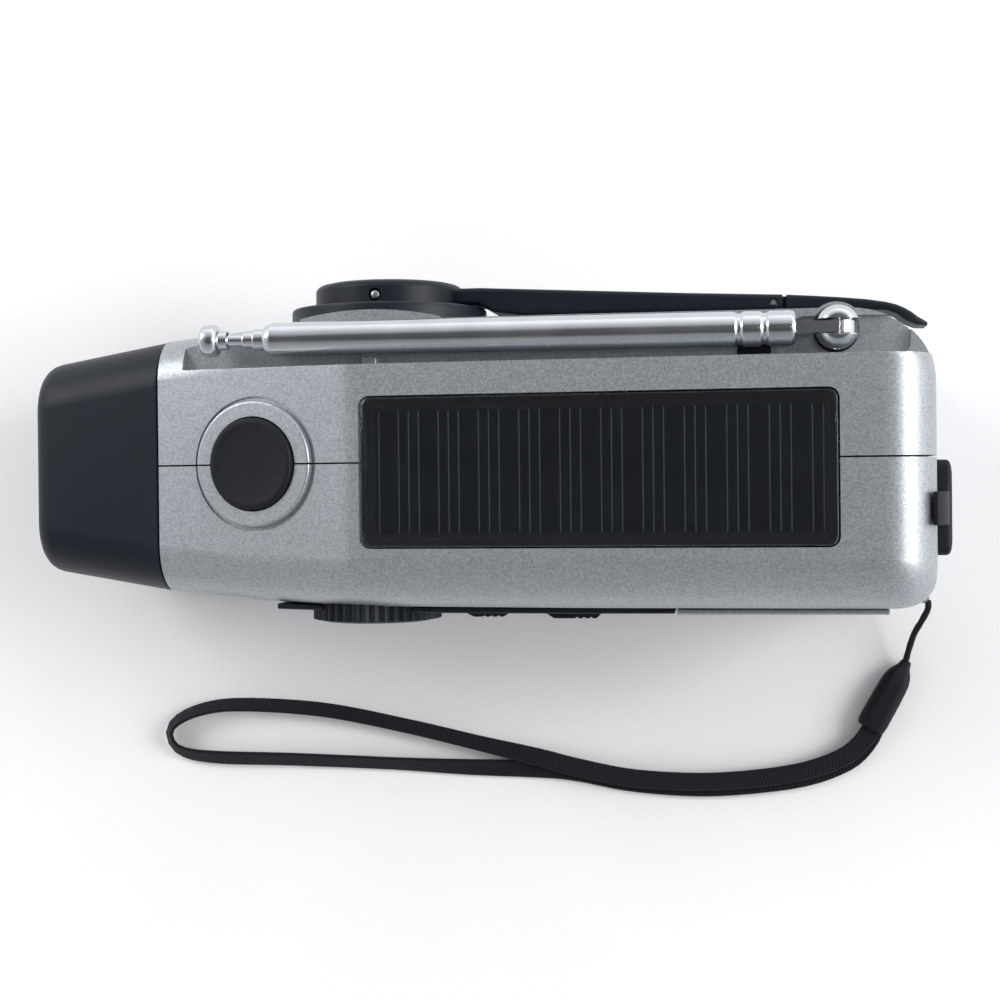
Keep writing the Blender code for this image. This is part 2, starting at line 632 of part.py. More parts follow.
def gear_train():
    """Crank gear, compound idler and dynamo rotor, each turning about its own Y axis."""
    idler_x = HUB_X + 0.5 * MODULE * (CRANK_TEETH + PINION_TEETH)
    rotor_x = idler_x + 0.5 * MODULE * (WHEEL_TEETH + ROTOR_TEETH)
    half_pinion = math.pi / PINION_TEETH
    half_rotor = math.pi / ROTOR_TEETH

    crank_gear = add_object("crank_gear", prism(gear_outline(HUB_X, HUB_Z, CRANK_TEETH), "Y",
                                                13.0, 16.0), NYLON, (HUB_X, 14.5, HUB_Z))
    bore = turned(((5.0, 2.3), (25.0, 2.3)), "Y", (HUB_X, 0.0, HUB_Z), 16)
    boolean(crank_gear, [cutter(bore)])

    wheel = prism(gear_outline(idler_x, HUB_Z, WHEEL_TEETH), "Y", 8.6, 11.6)
    idler = add_object("idler_gear", wheel, NYLON, (idler_x, 12.0, HUB_Z))
    turn = math.pi + half_pinion
    pinion = prism(gear_outline(idler_x, HUB_Z, PINION_TEETH, turn), "Y", 11.0, 16.2)
    boolean(idler, [cutter(pinion)], "UNION")
    bore = turned(((5.0, 1.3), (25.0, 1.3)), "Y", (idler_x, 0.0, HUB_Z), 16)
    boolean(idler, [cutter(bore)])
    axle = turned(((6.6, 1.0), (19.0, 1.0)), "Y", (idler_x, 0.0, HUB_Z), 12)
    add_object("idler_axle", axle, STEEL)

    turn = math.pi + half_rotor
    rotor = add_object("dynamo_rotor", prism(gear_outline(rotor_x, HUB_Z, ROTOR_TEETH, turn), "Y",
                                             7.6, 12.0), STEEL, (rotor_x, 8.0, HUB_Z))
    magnet = turned(((-5.0, 1.0), (-3.6, 1.0), (-3.6, 7.6), (4.6, 7.6), (4.6, 2.2), (8.0, 2.2)),
                    "Y", (rotor_x, 0.0, HUB_Z), 24)
    boolean(rotor, [cutter(magnet)], "UNION")
    case = ((-6.2, 1.5), (-6.2, 10.4), (6.0, 10.4), (6.0, 8.2), (-4.4, 8.2), (-4.4, 1.5))
    add_object("dynamo_stator", turned(case, "Y", (rotor_x, 0.0, HUB_Z), 28, closed=True), COPPER)

    plate_outline = rounded_outline(HUB_X - 17.0, rotor_x + 13.0, HUB_Z - 15.0, HUB_Z + 13.0, 3.0, 4)
    plate = add_object("gear_plate", prism(plate_outline, "Y", 17.4, 19.0), STEEL)
    holes = [cutter(turned(((10.0, 2.4), (25.0, 2.4)), "Y", (HUB_X, 0.0, HUB_Z), 16)),
             cutter(turned(((10.0, 1.3), (25.0, 1.3)), "Y", (idler_x, 0.0, HUB_Z), 12))]
    boolean(plate, holes)


# ---------------------------------------------------------------- front face

def front_plate(name, x0, x1, z0, z1, thickness, finish):
    """A thin plate that follows the front wall, with bevelled edges."""
    rings = []
    stations = sorted({x0, x1} | {x for x in (-15.0, 20.0) if x0 < x < x1})
    for x in stations:
        back = MID_Y - half_depth(x) - GAP
        outline = rounded_outline(back - thickness, back, z0, z1, 0.45, 2)
        rings.append([(x, y, z) for y, z in outline])
    return add_object(name, skin(rings), finish)


def front_face():
    dial = front_plate("dial_plate", -36.0, 36.0, 12.0, 45.0, 1.0, BLACK)
    boolean(dial, control_holes())

    ribs = []
    count = 40
    for i in range(2 * count):
        angle = math.pi * i / count
        radius = KNOB_R - 0.55 * (i % 2)
        ribs.append((KNOB_X + radius * math.cos(angle), KNOB_Z + radius * math.sin(angle)))
    knob = add_object("tuning_knob", prism(ribs, "Y", -31.1, -26.2), BLACK,
                      (KNOB_X, -28.0, KNOB_Z))
    face = turned(((-31.5, KNOB_R - 2.0), (-31.0, KNOB_R - 1.1)), "Y", (KNOB_X, 0.0, KNOB_Z), 40)
    spindle = turned(((-27.0, 2.9), (-22.6, 2.9)), "Y", (KNOB_X, 0.0, KNOB_Z), 20)
    boolean(knob, [cutter(face), cutter(spindle)], "UNION")

    sliders = (("power_slider", SWITCH_XS[0], 8.7, 31.0), ("band_slider", SWITCH_XS[1], 11.0, 31.3))
    for name, x, length, reach in sliders:
        cap = [(x - length / 2, -30.05), (x + length / 2, -30.05), (x + length / 2 - 1.2, -reach),
               (x - length / 2 + 2.0, -reach)]
        slider = add_object(name, prism(cap, "Z", SWITCH_Z - 2.6, SWITCH_Z + 2.6), BLACK,
                            (x, -30.0, SWITCH_Z))
        stem = cutter(block(x - 3.2, x + 3.2, -30.4, -24.0, SWITCH_Z - 1.3, SWITCH_Z + 1.3))
        boolean(slider, [stem], "UNION")

    grille = front_plate("speaker_grille", 36.6, 73.0, 10.0, 48.0, 1.0, SILVER)
    slots = []
    for i in range(9):
        z = SPEAKER_Z + 3.4 * (i - 4)
        half = math.sqrt(15.5 ** 2 - (z - SPEAKER_Z) ** 2)
        slots.append(cutter(block(SPEAKER_X - half, SPEAKER_X + half, -40.0, -20.0, z - 0.8, z + 0.8)))
    boolean(grille, slots)


# ---------------------------------------------------------------- inside

def speaker():
    centre = (SPEAKER_X, 0.0, SPEAKER_Z)
    frame = ((-26.0, 14.8), (-26.0, 17.6), (-24.8, 17.6), (-24.4, 16.0), (-18.6, 9.6), (-18.6, 7.0),
             (-19.6, 7.0), (-24.8, 14.8))
    add_object("speaker_frame", turned(frame, "Y", centre, 32, closed=True), STEEL)
    cone = ((-25.4, 13.4), (-25.4, 14.4), (-24.6, 14.4), (-20.8, 6.6), (-20.8, 0.8), (-22.4, 0.8),
            (-22.4, 6.0))
    add_object("speaker_cone", turned(cone, "Y", centre, 28, closed=True), PAPER)
    magnet = ((-18.3, 9.0), (-12.6, 9.0), (-12.2, 8.6))
    add_object("speaker_magnet", turned(magnet, "Y", centre, 28), FERRITE)


def electronics():
    board = add_object("main_board", prism(rounded_outline(-50.0, 34.0, 6.0, 42.0, 1.5, 3), "Y",
                                           -14.6, -13.0), BOARD)
    hole = turned(((-20.0, 3.2), (-5.0, 3.2)), "Y", (KNOB_X, 0.0, KNOB_Z), 16)
    boolean(board, [cutter(hole)])
    capacitor = block(KNOB_X - 8.0, KNOB_X + 8.0, -22.2, -15.0, 27.6, 41.6, 0.6, 1)
    add_object("tuning_capacitor", capacitor, NYLON)
    add_object("power_switch_body", block(-2.9, 7.1, -23.6, -15.0, 29.0, 37.0, 0.4, 1), STEEL)
    add_object("band_switch_body", block(12.1, 24.1, -23.6, -15.0, 29.0, 37.0, 0.4, 1), STEEL)
    rod = turned(((-14.0, 3.6), (-13.6, 4.0), (45.6, 4.0), (46.0, 3.6)), "X", (0.0, -16.5, 46.4), 20)
    add_object("ferrite_rod", rod, FERRITE)
    add_object("battery_pack", block(26.0, 70.0, 1.8, 17.2, 6.0, 15.6, 1.4, 2), WRAP)
    add_object("battery_cover", block(25.3, 70.7, 1.5, 17.5, 2.3, 4.3, 0.3, 1), BLACK)
    usb = add_object("usb_socket", block(72.2, 79.4, -15.6, -6.8, 33.0, 36.4), STEEL)
    boolean(usb, [cutter(block(73.6, 90.0, -14.9, -7.5, 33.6, 35.8))])
    jack = add_object("earphone_jack", block(68.4, 79.4, -14.2, -8.2, 22.8, 28.8, 0.4, 1), BLACK)
    bore = turned(((70.0, 1.8), (90.0, 1.8)), "X", (0.0, -11.2, 25.8), 16)
    boolean(jack, [cutter(bore)])


def jack_flap():
    """Rubber cover over the jacks, hinged along its lower edge, with a thumb tab at the top."""
    rings = []
    for x, inset in ((81.1, 0.0), (83.0, 0.0), (84.0, 1.2)):
        ring = rounded_outline(-19.7 + inset, -3.1 - inset, 17.6 + inset, 46.0 - inset, 1.6, 4)
        rings.append([(x, y, z) for y, z in ring])
    flap = add_object("jack_flap", skin(rings), RUBBER, (82.2, -11.4, 17.6))
    tab = prism(((81.15, 44.0), (83.0, 44.0), (82.9, 50.5), (81.9, 54.5), (80.3, 57.1),
                 (79.6, 56.5), (80.95, 53.2), (81.15, 50.5)), "Y", -14.2, -8.6)
    boolean(flap, [cutter(tab)], "UNION")
    plug = block(79.9, 81.6, -15.6, -6.8, 30.6, 38.6)
    boolean(flap, [cutter(plug)], "UNION")


def fasteners_and_feet():
    for index, (x, z) in enumerate(SCREW_PLACES):
        face = screw_face(x)
        screw = ((face - 9.0, 0.5), (face - 8.4, 0.9), (face - 0.8, 0.9), (face - 0.8, 2.0),
                 (face - 0.1, 1.7))
        add_object("case_screw_%d" % (index + 1), turned(screw, "Y", (x, 0.0, z), 12), STEEL)
    for index, (x, y) in enumerate(FOOT_PLACES):
        profile = ((0.0, FOOT_R), (0.4, FOOT_R + 0.5), (BASE_Z - GAP, FOOT_R + 0.5))
        foot = turned(profile, "Z", (x, y, 0.0), 20)
        add_object("foot_%d" % (index + 1), foot, RUBBER)


# ---------------------------------------------------------------- wrist strap

CORD_ROUTE = ((83.2, -29.9, 10.6), (83.2, -31.5, 9.7), (82.2, -33.9, 7.9), (81.0, -36.4, 6.1),
              (80.2, -39.2, 4.4), (79.6, -41.9, 3.2))
BAND_ROUTE = ((72.9, -55.3, 2.9), (71.0, -58.2, 2.8), (67.4, -61.2, 2.8), (60.4, -63.9, 2.8),
              (51.0, -65.6, 2.8), (39.0, -66.5, 2.8), (25.4, -65.9, 2.8), (14.1, -63.8, 2.8),
              (7.0, -62.0, 2.8), (-4.7, -59.4, 2.6), (-21.2, -55.7, 2.4), (-38.4, -52.6, 2.4),
              (-55.8, -51.7, 2.4), (-64.5, -52.9, 2.4), (-69.9, -55.6, 2.4), (-70.9, -58.6, 2.4),
              (-68.4, -61.5, 2.4), (-61.0, -62.7, 2.2), (-44.5, -63.0, 2.0), (-22.3, -63.7, 1.6),
              (-7.6, -64.3, 1.1), (7.0, -64.6, 0.9), (14.6, -65.2, 0.9), (25.4, -67.1, 0.9),
              (39.0, -67.9, 0.9), (51.5, -67.0, 0.9), (61.1, -65.3, 0.9), (68.4, -62.3, 0.9),
              (71.9, -58.9, 1.0), (73.5, -56.0, 1.2))


def smooth_route(points, spacing):
    """Evenly spaced points on a Catmull-Rom curve through the route."""
    dense = []
    padded = [points[0]] + list(points) + [points[-1]]
    for p0, p1, p2, p3 in zip(padded, padded[1:], padded[2:], padded[3:]):
        a, b, c, d = (Vector(p) for p in (p0, p1, p2, p3))
        for i in range(12):
            t = i / 12.0
            dense.append(0.5 * (2.0 * b + (c - a) * t + (2.0 * a - 5.0 * b + 4.0 * c - d) * t ** 2
                                + (3.0 * b - a - 3.0 * c + d) * t ** 3))
    dense.append(Vector(points[-1]))
    total = sum((q - p).length for p, q in zip(dense, dense[1:]))
    count = max(2, round(total / spacing))
    result = [dense[0]]
    target = total / count
    walked = 0.0
    for p, q in zip(dense, dense[1:]):
        length = (q - p).length
        while length > 0.0 and walked + length >= target * len(result) and len(result) < count:
            result.append(p.lerp(q, (target * len(result) - walked) / length))
        walked += length
    result.append(dense[-1])
    return result


def tube(name, route, radius, spacing, finish):
    points = smooth_route(route, spacing)
    curve = bpy.data.curves.new(name, "CURVE")
    curve.dimensions = "3D"
    curve.bevel_depth = radius * MM
    curve.bevel_resolution = 2
    curve.use_fill_caps = True
    spline = curve.splines.new("POLY")
    spline.points.add(len(points) - 1)
    for slot, point in zip(spline.points, points):
        slot.co = (*(point * MM), 1.0)
    obj = bpy.data.objects.new(name, curve)
    bpy.context.collection.objects.link(obj)
    curve.materials.append(material(finish))
    obj.parent = ROOT
    return obj


def wrist_strap():
    eyelet = block(-2.2, 2.2, -1.1, 1.1, -1.6, 1.6, 0.5, 2)
    turn = Matrix.Translation(Vector((81.4, -28.1, 10.8))) @ Matrix.Rotation(math.radians(-45.0), 4, "Z")
    eyelet.transform(turn)
    add_object("strap_eyelet", eyelet, STEEL)
    tube("strap_cord", CORD_ROUTE, 0.65, 1.6, STRAP)
    sleeve_axis = Vector((73.2, -54.3, 0.0)) - Vector((79.3, -43.2, 0.0))
    length = sleeve_axis.length
    rings = []
    for along, half_wide, half_high in ((0.3, 1.1, 1.0), (1.6, 2.2, 1.7), (4.0, 2.8, 2.1),
                                        (length - 1.0, 2.9, 2.2), (length - 0.2, 2.6, 1.9)):
        centre = Vector((79.3, -43.2, 2.3)) + sleeve_axis.normalized() * along
        across = Vector((-sleeve_axis.y, sleeve_axis.x, 0.0)).normalized()
        ring = []
        for i in range(20):
            angle = 2.0 * math.pi * i / 20
            ring.append(centre + across * half_wide * math.cos(angle)
                        + Vector((0.0, 0.0, 1.0)) * half_high * math.sin(angle))
        rings.append(ring)
    add_object("strap_sleeve", skin(rings), RUBBER)
    tube("strap_band", BAND_ROUTE, 0.7, 4.6, STRAP)


def build():
    global ROOT
    clear_scene()
    ROOT = bpy.data.objects.new("radio", None)
    bpy.context.collection.objects.link(ROOT)
    shells()
    flashlight_head()
    solar_window()
    light_button()
    antenna()
    crank()
    gear_train()
    front_face()
    speaker()
    electronics()
    jack_flap()
    fasteners_and_feet()
    wrist_strap()


build()
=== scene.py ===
# %% [markdown]
# # A hand-crank emergency radio
# The real radio is a silver box the size of a large torch, with a black flashlight head, a solar
# window on top, a folding aerial along its back edge, a crank behind and a wrist strap in front.
# The engineering model gives every part's place, so this lesson only has to make its looks.

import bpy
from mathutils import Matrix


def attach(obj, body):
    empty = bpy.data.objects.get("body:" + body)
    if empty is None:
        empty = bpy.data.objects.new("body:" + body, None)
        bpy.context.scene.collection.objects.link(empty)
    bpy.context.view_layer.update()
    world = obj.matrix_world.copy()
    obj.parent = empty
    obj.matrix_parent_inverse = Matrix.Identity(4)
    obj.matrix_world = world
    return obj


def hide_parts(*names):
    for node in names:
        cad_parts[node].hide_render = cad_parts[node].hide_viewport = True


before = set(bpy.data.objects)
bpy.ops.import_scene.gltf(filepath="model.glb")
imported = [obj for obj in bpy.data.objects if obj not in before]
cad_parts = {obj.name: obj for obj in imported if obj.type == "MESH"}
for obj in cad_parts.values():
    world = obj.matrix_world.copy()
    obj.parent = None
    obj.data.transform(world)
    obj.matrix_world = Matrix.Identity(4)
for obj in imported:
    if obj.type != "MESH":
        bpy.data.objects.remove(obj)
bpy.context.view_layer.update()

# %% [markdown]
# ## Units and small tools
# Drawings of small goods are in millimetres, so every shape below is written in millimetres and
# scaled once, when its mesh becomes an object. All pieces keep their origin at the middle of the
# radio, which makes the texture coordinates of every piece the same real-world ruler.

# %% Tools for shapes
import math

import bmesh
import bpy
from mathutils import Matrix, Vector

MM = 0.001
MOULD_GAP = 0.3


def skin(rings, closed=False):
    """Join rings of equal length; a stack that isn't closed gets flat ends."""
    bm = bmesh.new()
    rows = [[bm.verts.new(point) for point in ring] for ring in rings]
    count = len(rows[0])
    for i in range(len(rows) if closed else len(rows) - 1):
        here, there = rows[i], rows[(i + 1) % len(rows)]
        for j in range(count):
            k = (j + 1) % count
            bm.faces.new((here[j], here[k], there[k], there[j]))
    if not closed:
        bm.faces.new(rows[0])
        bm.faces.new(rows[-1])
    return bm


def lathe(profile, axis, centre, sides=72, closed=False):
    """Turn (along, radius) pairs round an axis through the centre."""
    x, y, z = centre
    rings = []
    for along, radius in profile:
        ring = []
        for i in range(sides):
            a = radius * math.cos(2.0 * math.pi * i / sides)
            b = radius * math.sin(2.0 * math.pi * i / sides)
            ring.append({"X": (x + along, y + a, z + b), "Y": (x + a, y + along, z + b),
                         "Z": (x + a, y + b, z + along)}[axis])
        rings.append(ring)
    return skin(rings, closed)


def prism(outline, axis, low, high):
    """Pull a flat outline along an axis; the outline takes the other two axes."""
    rings = []
    for level in (low, high):
        rings.append([{"X": (level, a, b), "Y": (a, level, b), "Z": (a, b, level)}[axis]
                      for a, b in outline])
    return skin(rings)


def rounded(a0, a1, b0, b1, radius, steps=8):
    """A rectangle with round corners, counter-clockwise."""
    points = []
    for ca, cb, start in ((a1 - radius, b0 + radius, -90.0), (a1 - radius, b1 - radius, 0.0),
                          (a0 + radius, b1 - radius, 90.0), (a0 + radius, b0 + radius, 180.0)):
        for i in range(steps + 1):
            angle = math.radians(start + 90.0 * i / steps)
            points.append((ca + radius * math.cos(angle), cb + radius * math.sin(angle)))
    return points


def block(x0, x1, y0, y1, z0, z1, edge=0.0):
    bm = prism(((x0, y0), (x1, y0), (x1, y1), (x0, y1)), "Z", z0, z1)
    bmesh.ops.recalc_face_normals(bm, faces=bm.faces)
    if edge:
        bmesh.ops.bevel(bm, geom=list(bm.edges), offset=edge, segments=3, profile=0.6,
                        affect="EDGES")
    return bm


def tilted(bm, degrees, pivot):
    """Turn a mesh about a Y axis through the pivot; a positive angle lowers its -X end."""
    shift = Matrix.Translation(Vector(pivot))
    bm.transform(shift @ Matrix.Rotation(-math.radians(degrees), 4, "Y") @ shift.inverted())
    return bm


print("shape tools ready")

# %% [markdown]
# ## From mesh to piece
# A moulded part never has a knife edge: light always catches a thin line along it. So each piece
# can get a narrow bevel where two faces meet at more than 35 degrees, after all its cuts are made.
# The cuts are exact booleans, the surest way to pierce one closed solid with another. Weighted
# normals then keep each large flat face flat to the eye, right up to its rounded edge.

# %% Objects, cuts and pieces
SHARP = math.radians(35.0)


def solid(bm, name="tool"):
    """Make an object in metres from a millimetre mesh."""
    bmesh.ops.recalc_face_normals(bm, faces=bm.faces)
    if bm.calc_volume(signed=True) < 0.0:
        bmesh.ops.reverse_faces(bm, faces=bm.faces)
    bm.transform(Matrix.Scale(MM, 4))
    mesh = bpy.data.meshes.new(name)
    bm.to_mesh(mesh)
    bm.free()
    obj = bpy.data.objects.new(name, mesh)
    bpy.context.scene.collection.objects.link(obj)
    return obj


def bake(obj):
    """Replace an object's mesh by what its modifiers make of it."""
    bpy.context.view_layer.update()
    graph = bpy.context.evaluated_depsgraph_get()
    made = bpy.data.meshes.new_from_object(obj.evaluated_get(graph))
    obj.modifiers.clear()
    obj.data = made


def cut(obj, tools, operation="DIFFERENCE"):
    """One exact boolean per tool; the tools are used up."""
    for bm in tools:
        tool = solid(bm)
        change = obj.modifiers.new("cut", "BOOLEAN")
        change.operation, change.solver, change.object = operation, "EXACT", tool
        bake(obj)
        bpy.data.objects.remove(tool, do_unlink=True)
    return obj


def piece(obj, finish, body, stands_for=(), edge=0.0):
    """Finish a piece: soft edges, smooth shading, its material and the body that it rides on."""
    if edge:
        soft = obj.modifiers.new("edge", "BEVEL")
        soft.width, soft.segments, soft.limit_method = edge * MM, 2, "ANGLE"
        soft.angle_limit, soft.use_clamp_overlap = SHARP, True
        bake(obj)
    obj.data.shade_smooth()
    obj.data.set_sharp_from_angle(angle=SHARP)
    flat = obj.modifiers.new("flat", "WEIGHTED_NORMAL")
    flat.keep_sharp, flat.weight = True, 80
    bake(obj)
    obj.data.materials.clear()
    obj.data.materials.append(finish)
    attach(obj, body)
    if stands_for:
        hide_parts(*stands_for)
    return obj


print("edges below", round(math.degrees(SHARP)), "degrees shade smooth")

# %% [markdown]
# ## Camera
# A long thing shows its outline best from straight above, through a short telephoto lens. The
# camera stands about 30 cm over the radio, nearer its jack end, and looks a little
# towards the head, so the end wall with the jacks can just be seen.

# %% Camera
CAMERA_AT = Vector((48.4, -7.0, 358.0)) * MM
CAMERA_TO = Vector((6.9, -9.3, 58.0)) * MM
LENS_MM = 63.6
ROLL = math.radians(0.6)

view_line = (CAMERA_TO - CAMERA_AT).normalized()
right = view_line.cross(Vector((0.0, 1.0, 0.0))).normalized()
up = right.cross(view_line)
level = right * math.cos(ROLL) - up * math.sin(ROLL)
rise = right * math.sin(ROLL) + up * math.cos(ROLL)
camera_data = bpy.data.cameras.new("camera")
camera_data.lens, camera_data.sensor_width = LENS_MM, 36.0
camera_data.clip_start = 0.01
camera = bpy.data.objects.new("camera", camera_data)
camera.matrix_world = Matrix((level, rise, -view_line)).transposed().to_4x4()
camera.location = CAMERA_AT
bpy.context.scene.collection.objects.link(camera)
bpy.context.scene.camera = camera
print("camera height above the table:", round(CAMERA_AT.z * 1000), "mm")

# %% [markdown]
# ## Colour and material tools
# Colours are picked as the sRGB hex codes a paint programme shows, and the renderer works in
# linear light, so one function converts them. Another adds a shader node with its settings and
# links: that is all a procedural material needs. Sizes of grain and weave are given in
# millimetres, and a texture's scale is how many of them fit in a metre.

# %% Colour and node tools


def linear(code):
    """An sRGB hex colour as linear RGBA."""
    values = [int(code[i:i + 2], 16) / 255.0 for i in (1, 3, 5)]
    return (*[v / 12.92 if v <= 0.04045 else ((v + 0.055) / 1.055) ** 2.4 for v in values], 1.0)


def per_metre(size_mm):
    return 1000.0 / size_mm


def add_node(tree, kind, settings=None, links=None):
    """Add a node; a setting is a property or an input's value, a link is an input's source."""
    node = tree.nodes.new(kind)
    for key, value in (settings or {}).items():
        if isinstance(key, str) and hasattr(node, key):
            setattr(node, key, value)
        else:
            node.inputs[key].default_value = value
    for key, source in (links or {}).items():
        tree.links.new(source, node.inputs[key])
    return node


def begin(name, slot, colour, roughness, **sockets):
    """A material with its constant values on the shader's own sockets."""
    finish = bpy.data.materials.new(name)
    finish.use_nodes = True
    finish["slot"] = slot
    tree = finish.node_tree
    shader = tree.nodes["Principled BSDF"]
    shader.inputs["Base Color"].default_value = linear(colour)
    shader.inputs["Roughness"].default_value = roughness
    for key, value in sockets.items():
        shader.inputs[key.replace("_", " ")].default_value = value
    place = add_node(tree, "ShaderNodeTexCoord").outputs["Object"]
    return finish, tree, shader, place


print("mid grey is", round(linear("#808080")[0], 3), "in linear light")

# %% [markdown]
# ## Silver paint on ABS
# The housing is moulded ABS with sprayed silver lacquer. Tiny aluminium flakes lie at slightly
# different angles in it, so the surface glitters softly instead of shining like metal. Real
# flakes are 0.03 mm; they are drawn 0.24 mm wide here, because finer ones wouldn't show. Sprayed
# paint also has a faint orange-peel wave about 2 mm long.

# %% Silver paint
silver_paint, tree, shader, place = begin("silver_paint_on_abs", "silver_abs", "#9fa4a8", 0.36,
                                          Metallic=0.62)
flakes = add_node(tree, "ShaderNodeTexVoronoi", {"Scale": per_metre(0.24)}, {"Vector": place})
flake = add_node(tree, "ShaderNodeSeparateColor", {}, {"Color": flakes.outputs["Color"]})
clouds = add_node(tree, "ShaderNodeTexNoise", {"Scale": per_metre(14.0), "Detail": 3.0},
                  {"Vector": place})
glint = add_node(tree, "ShaderNodeMapRange", {"To Min": 0.80, "To Max": 1.16},
                 {"Value": flake.outputs[0]})
patch = add_node(tree, "ShaderNodeMapRange", {"To Min": 0.95, "To Max": 1.05},
                 {"Value": clouds.outputs["Fac"]})
strength = add_node(tree, "ShaderNodeMath", {"operation": "MULTIPLY"},
                    {0: glint.outputs[0], 1: patch.outputs[0]})
tint = add_node(tree, "ShaderNodeVectorMath", {"operation": "SCALE", 0: linear("#9fa4a8")[:3]},
                {"Scale": strength.outputs[0]})
tree.links.new(tint.outputs[0], shader.inputs["Base Color"])
gloss = add_node(tree, "ShaderNodeMapRange", {"To Min": 0.30, "To Max": 0.46},
                 {"Value": flake.outputs[1]})
tree.links.new(gloss.outputs[0], shader.inputs["Roughness"])
peel = add_node(tree, "ShaderNodeTexNoise", {"Scale": per_metre(2.0), "Detail": 1.0},
                {"Vector": place})
grit = add_node(tree, "ShaderNodeTexNoise", {"Scale": per_metre(0.22), "Detail": 1.0},
                {"Vector": place})
wave = add_node(tree, "ShaderNodeBump", {"Strength": 0.35, "Distance": 0.00003},
                {"Height": peel.outputs["Fac"]})
bump = add_node(tree, "ShaderNodeBump", {"Strength": 0.45, "Distance": 0.00003},
                {"Height": grit.outputs["Fac"], "Normal": wave.outputs[0]})
tree.links.new(bump.outputs[0], shader.inputs["Normal"])
print(silver_paint.name, len(tree.nodes), "nodes")

# %% [markdown]
# ## Black ABS
# The flashlight head, crank and knob are black ABS moulded in a spark-eroded tool, which leaves
# a fine even grain about 0.3 mm wide. Handling wears the edges, so they go a little lighter. IOR
# 1.53 is usual for ABS, and the specular level was lowered to keep the black deep. The
# colour is a cool black.

# %% Black ABS
black_abs, tree, shader, place = begin("black_abs_spark_grain", "black_abs", "#121920", 0.42,
                                       IOR=1.53, Specular_IOR_Level=0.2)
grain = add_node(tree, "ShaderNodeTexNoise", {"Scale": per_metre(0.32), "Detail": 2.0},
                 {"Vector": place})
handled = add_node(tree, "ShaderNodeTexNoise", {"Scale": per_metre(11.0), "Detail": 4.0},
                   {"Vector": place})
edge_at = add_node(tree, "ShaderNodeNewGeometry")
worn = add_node(tree, "ShaderNodeMapRange", {"From Min": 0.52, "From Max": 0.60},
                {"Value": edge_at.outputs["Pointiness"]})
shade = add_node(tree, "ShaderNodeMix", {"data_type": "RGBA", 6: linear("#09111a"),
                                         7: linear("#0e1721")}, {0: handled.outputs["Fac"]})
rubbed = add_node(tree, "ShaderNodeMix", {"data_type": "RGBA", 7: linear("#1d252d")},
                  {0: worn.outputs[0], 6: shade.outputs[2]})
tree.links.new(rubbed.outputs[2], shader.inputs["Base Color"])
gloss = add_node(tree, "ShaderNodeMapRange", {"To Min": 0.36, "To Max": 0.52},
                 {"Value": handled.outputs["Fac"]})
tree.links.new(gloss.outputs[0], shader.inputs["Roughness"])
bump = add_node(tree, "ShaderNodeBump", {"Strength": 0.4, "Distance": 0.00003},
                {"Height": grain.outputs["Fac"]})
tree.links.new(bump.outputs[0], shader.inputs["Normal"])
print(black_abs.name, len(tree.nodes), "nodes")

# %% [markdown]
# ## Black rubber
# The light button, jack cover and feet are moulded rubber: darker and duller than the ABS, with
# a soft sheen at grazing angles and specks of lint that rubber always picks up.

# %% Rubber
rubber, tree, shader, place = begin("black_moulded_rubber", "black_rubber", "#070c12", 0.62,
                                    IOR=1.52, Specular_IOR_Level=0.25, Sheen_Weight=0.03)
pores = add_node(tree, "ShaderNodeTexNoise", {"Scale": per_metre(0.5), "Detail": 3.0},
                 {"Vector": place})
lint = add_node(tree, "ShaderNodeTexVoronoi", {"Scale": per_metre(3.4)}, {"Vector": place})
speck = add_node(tree, "ShaderNodeMapRange", {"From Min": 0.06, "From Max": 0.03},
                 {"Value": lint.outputs["Distance"]})
shade = add_node(tree, "ShaderNodeMix", {"data_type": "RGBA", 6: linear("#060b11"),
                                         7: linear("#1c2228")}, {0: speck.outputs[0]})
tree.links.new(shade.outputs[2], shader.inputs["Base Color"])
gloss = add_node(tree, "ShaderNodeMapRange", {"To Min": 0.52, "To Max": 0.74},
                 {"Value": pores.outputs["Fac"]})
tree.links.new(gloss.outputs[0], shader.inputs["Roughness"])
bump = add_node(tree, "ShaderNodeBump", {"Strength": 0.25, "Distance": 0.00004},
                {"Height": pores.outputs["Fac"]})
tree.links.new(bump.outputs[0], shader.inputs["Normal"])
print(rubber.name, len(tree.nodes), "nodes")

# %% [markdown]
# ## Chrome plate
# The aerial is drawn brass tube with nickel and chrome plate. It mirrors the room, and sliding in
# and out draws hair-fine scratches along it. A noise stretched 60 times along X stands for them.

# %% Chrome
chrome, tree, shader, place = begin("chrome_plated_brass", "antenna_chrome", "#c9ccd0", 0.12,
                                    Metallic=1.0)
stretch = add_node(tree, "ShaderNodeMapping", {"Scale": (1.0 / 60.0, 1.0, 1.0)},
                   {"Vector": place})
scratches = add_node(tree, "ShaderNodeTexNoise", {"Scale": per_metre(0.2), "Detail": 3.0},
                     {"Vector": stretch.outputs[0]})
smudge = add_node(tree, "ShaderNodeTexNoise", {"Scale": per_metre(7.0), "Detail": 3.0},
                  {"Vector": place})
wear = add_node(tree, "ShaderNodeMath", {"operation": "MULTIPLY"},
                {0: scratches.outputs["Fac"], 1: smudge.outputs["Fac"]})
gloss = add_node(tree, "ShaderNodeMapRange", {"From Max": 0.5, "To Min": 0.06, "To Max": 0.24},
                 {"Value": wear.outputs[0]})
tree.links.new(gloss.outputs[0], shader.inputs["Roughness"])
tone = add_node(tree, "ShaderNodeMix", {"data_type": "RGBA", 6: linear("#b9bdc2"),
                                        7: linear("#d3d6da")}, {0: smudge.outputs["Fac"]})
tree.links.new(tone.outputs[2], shader.inputs["Base Color"])
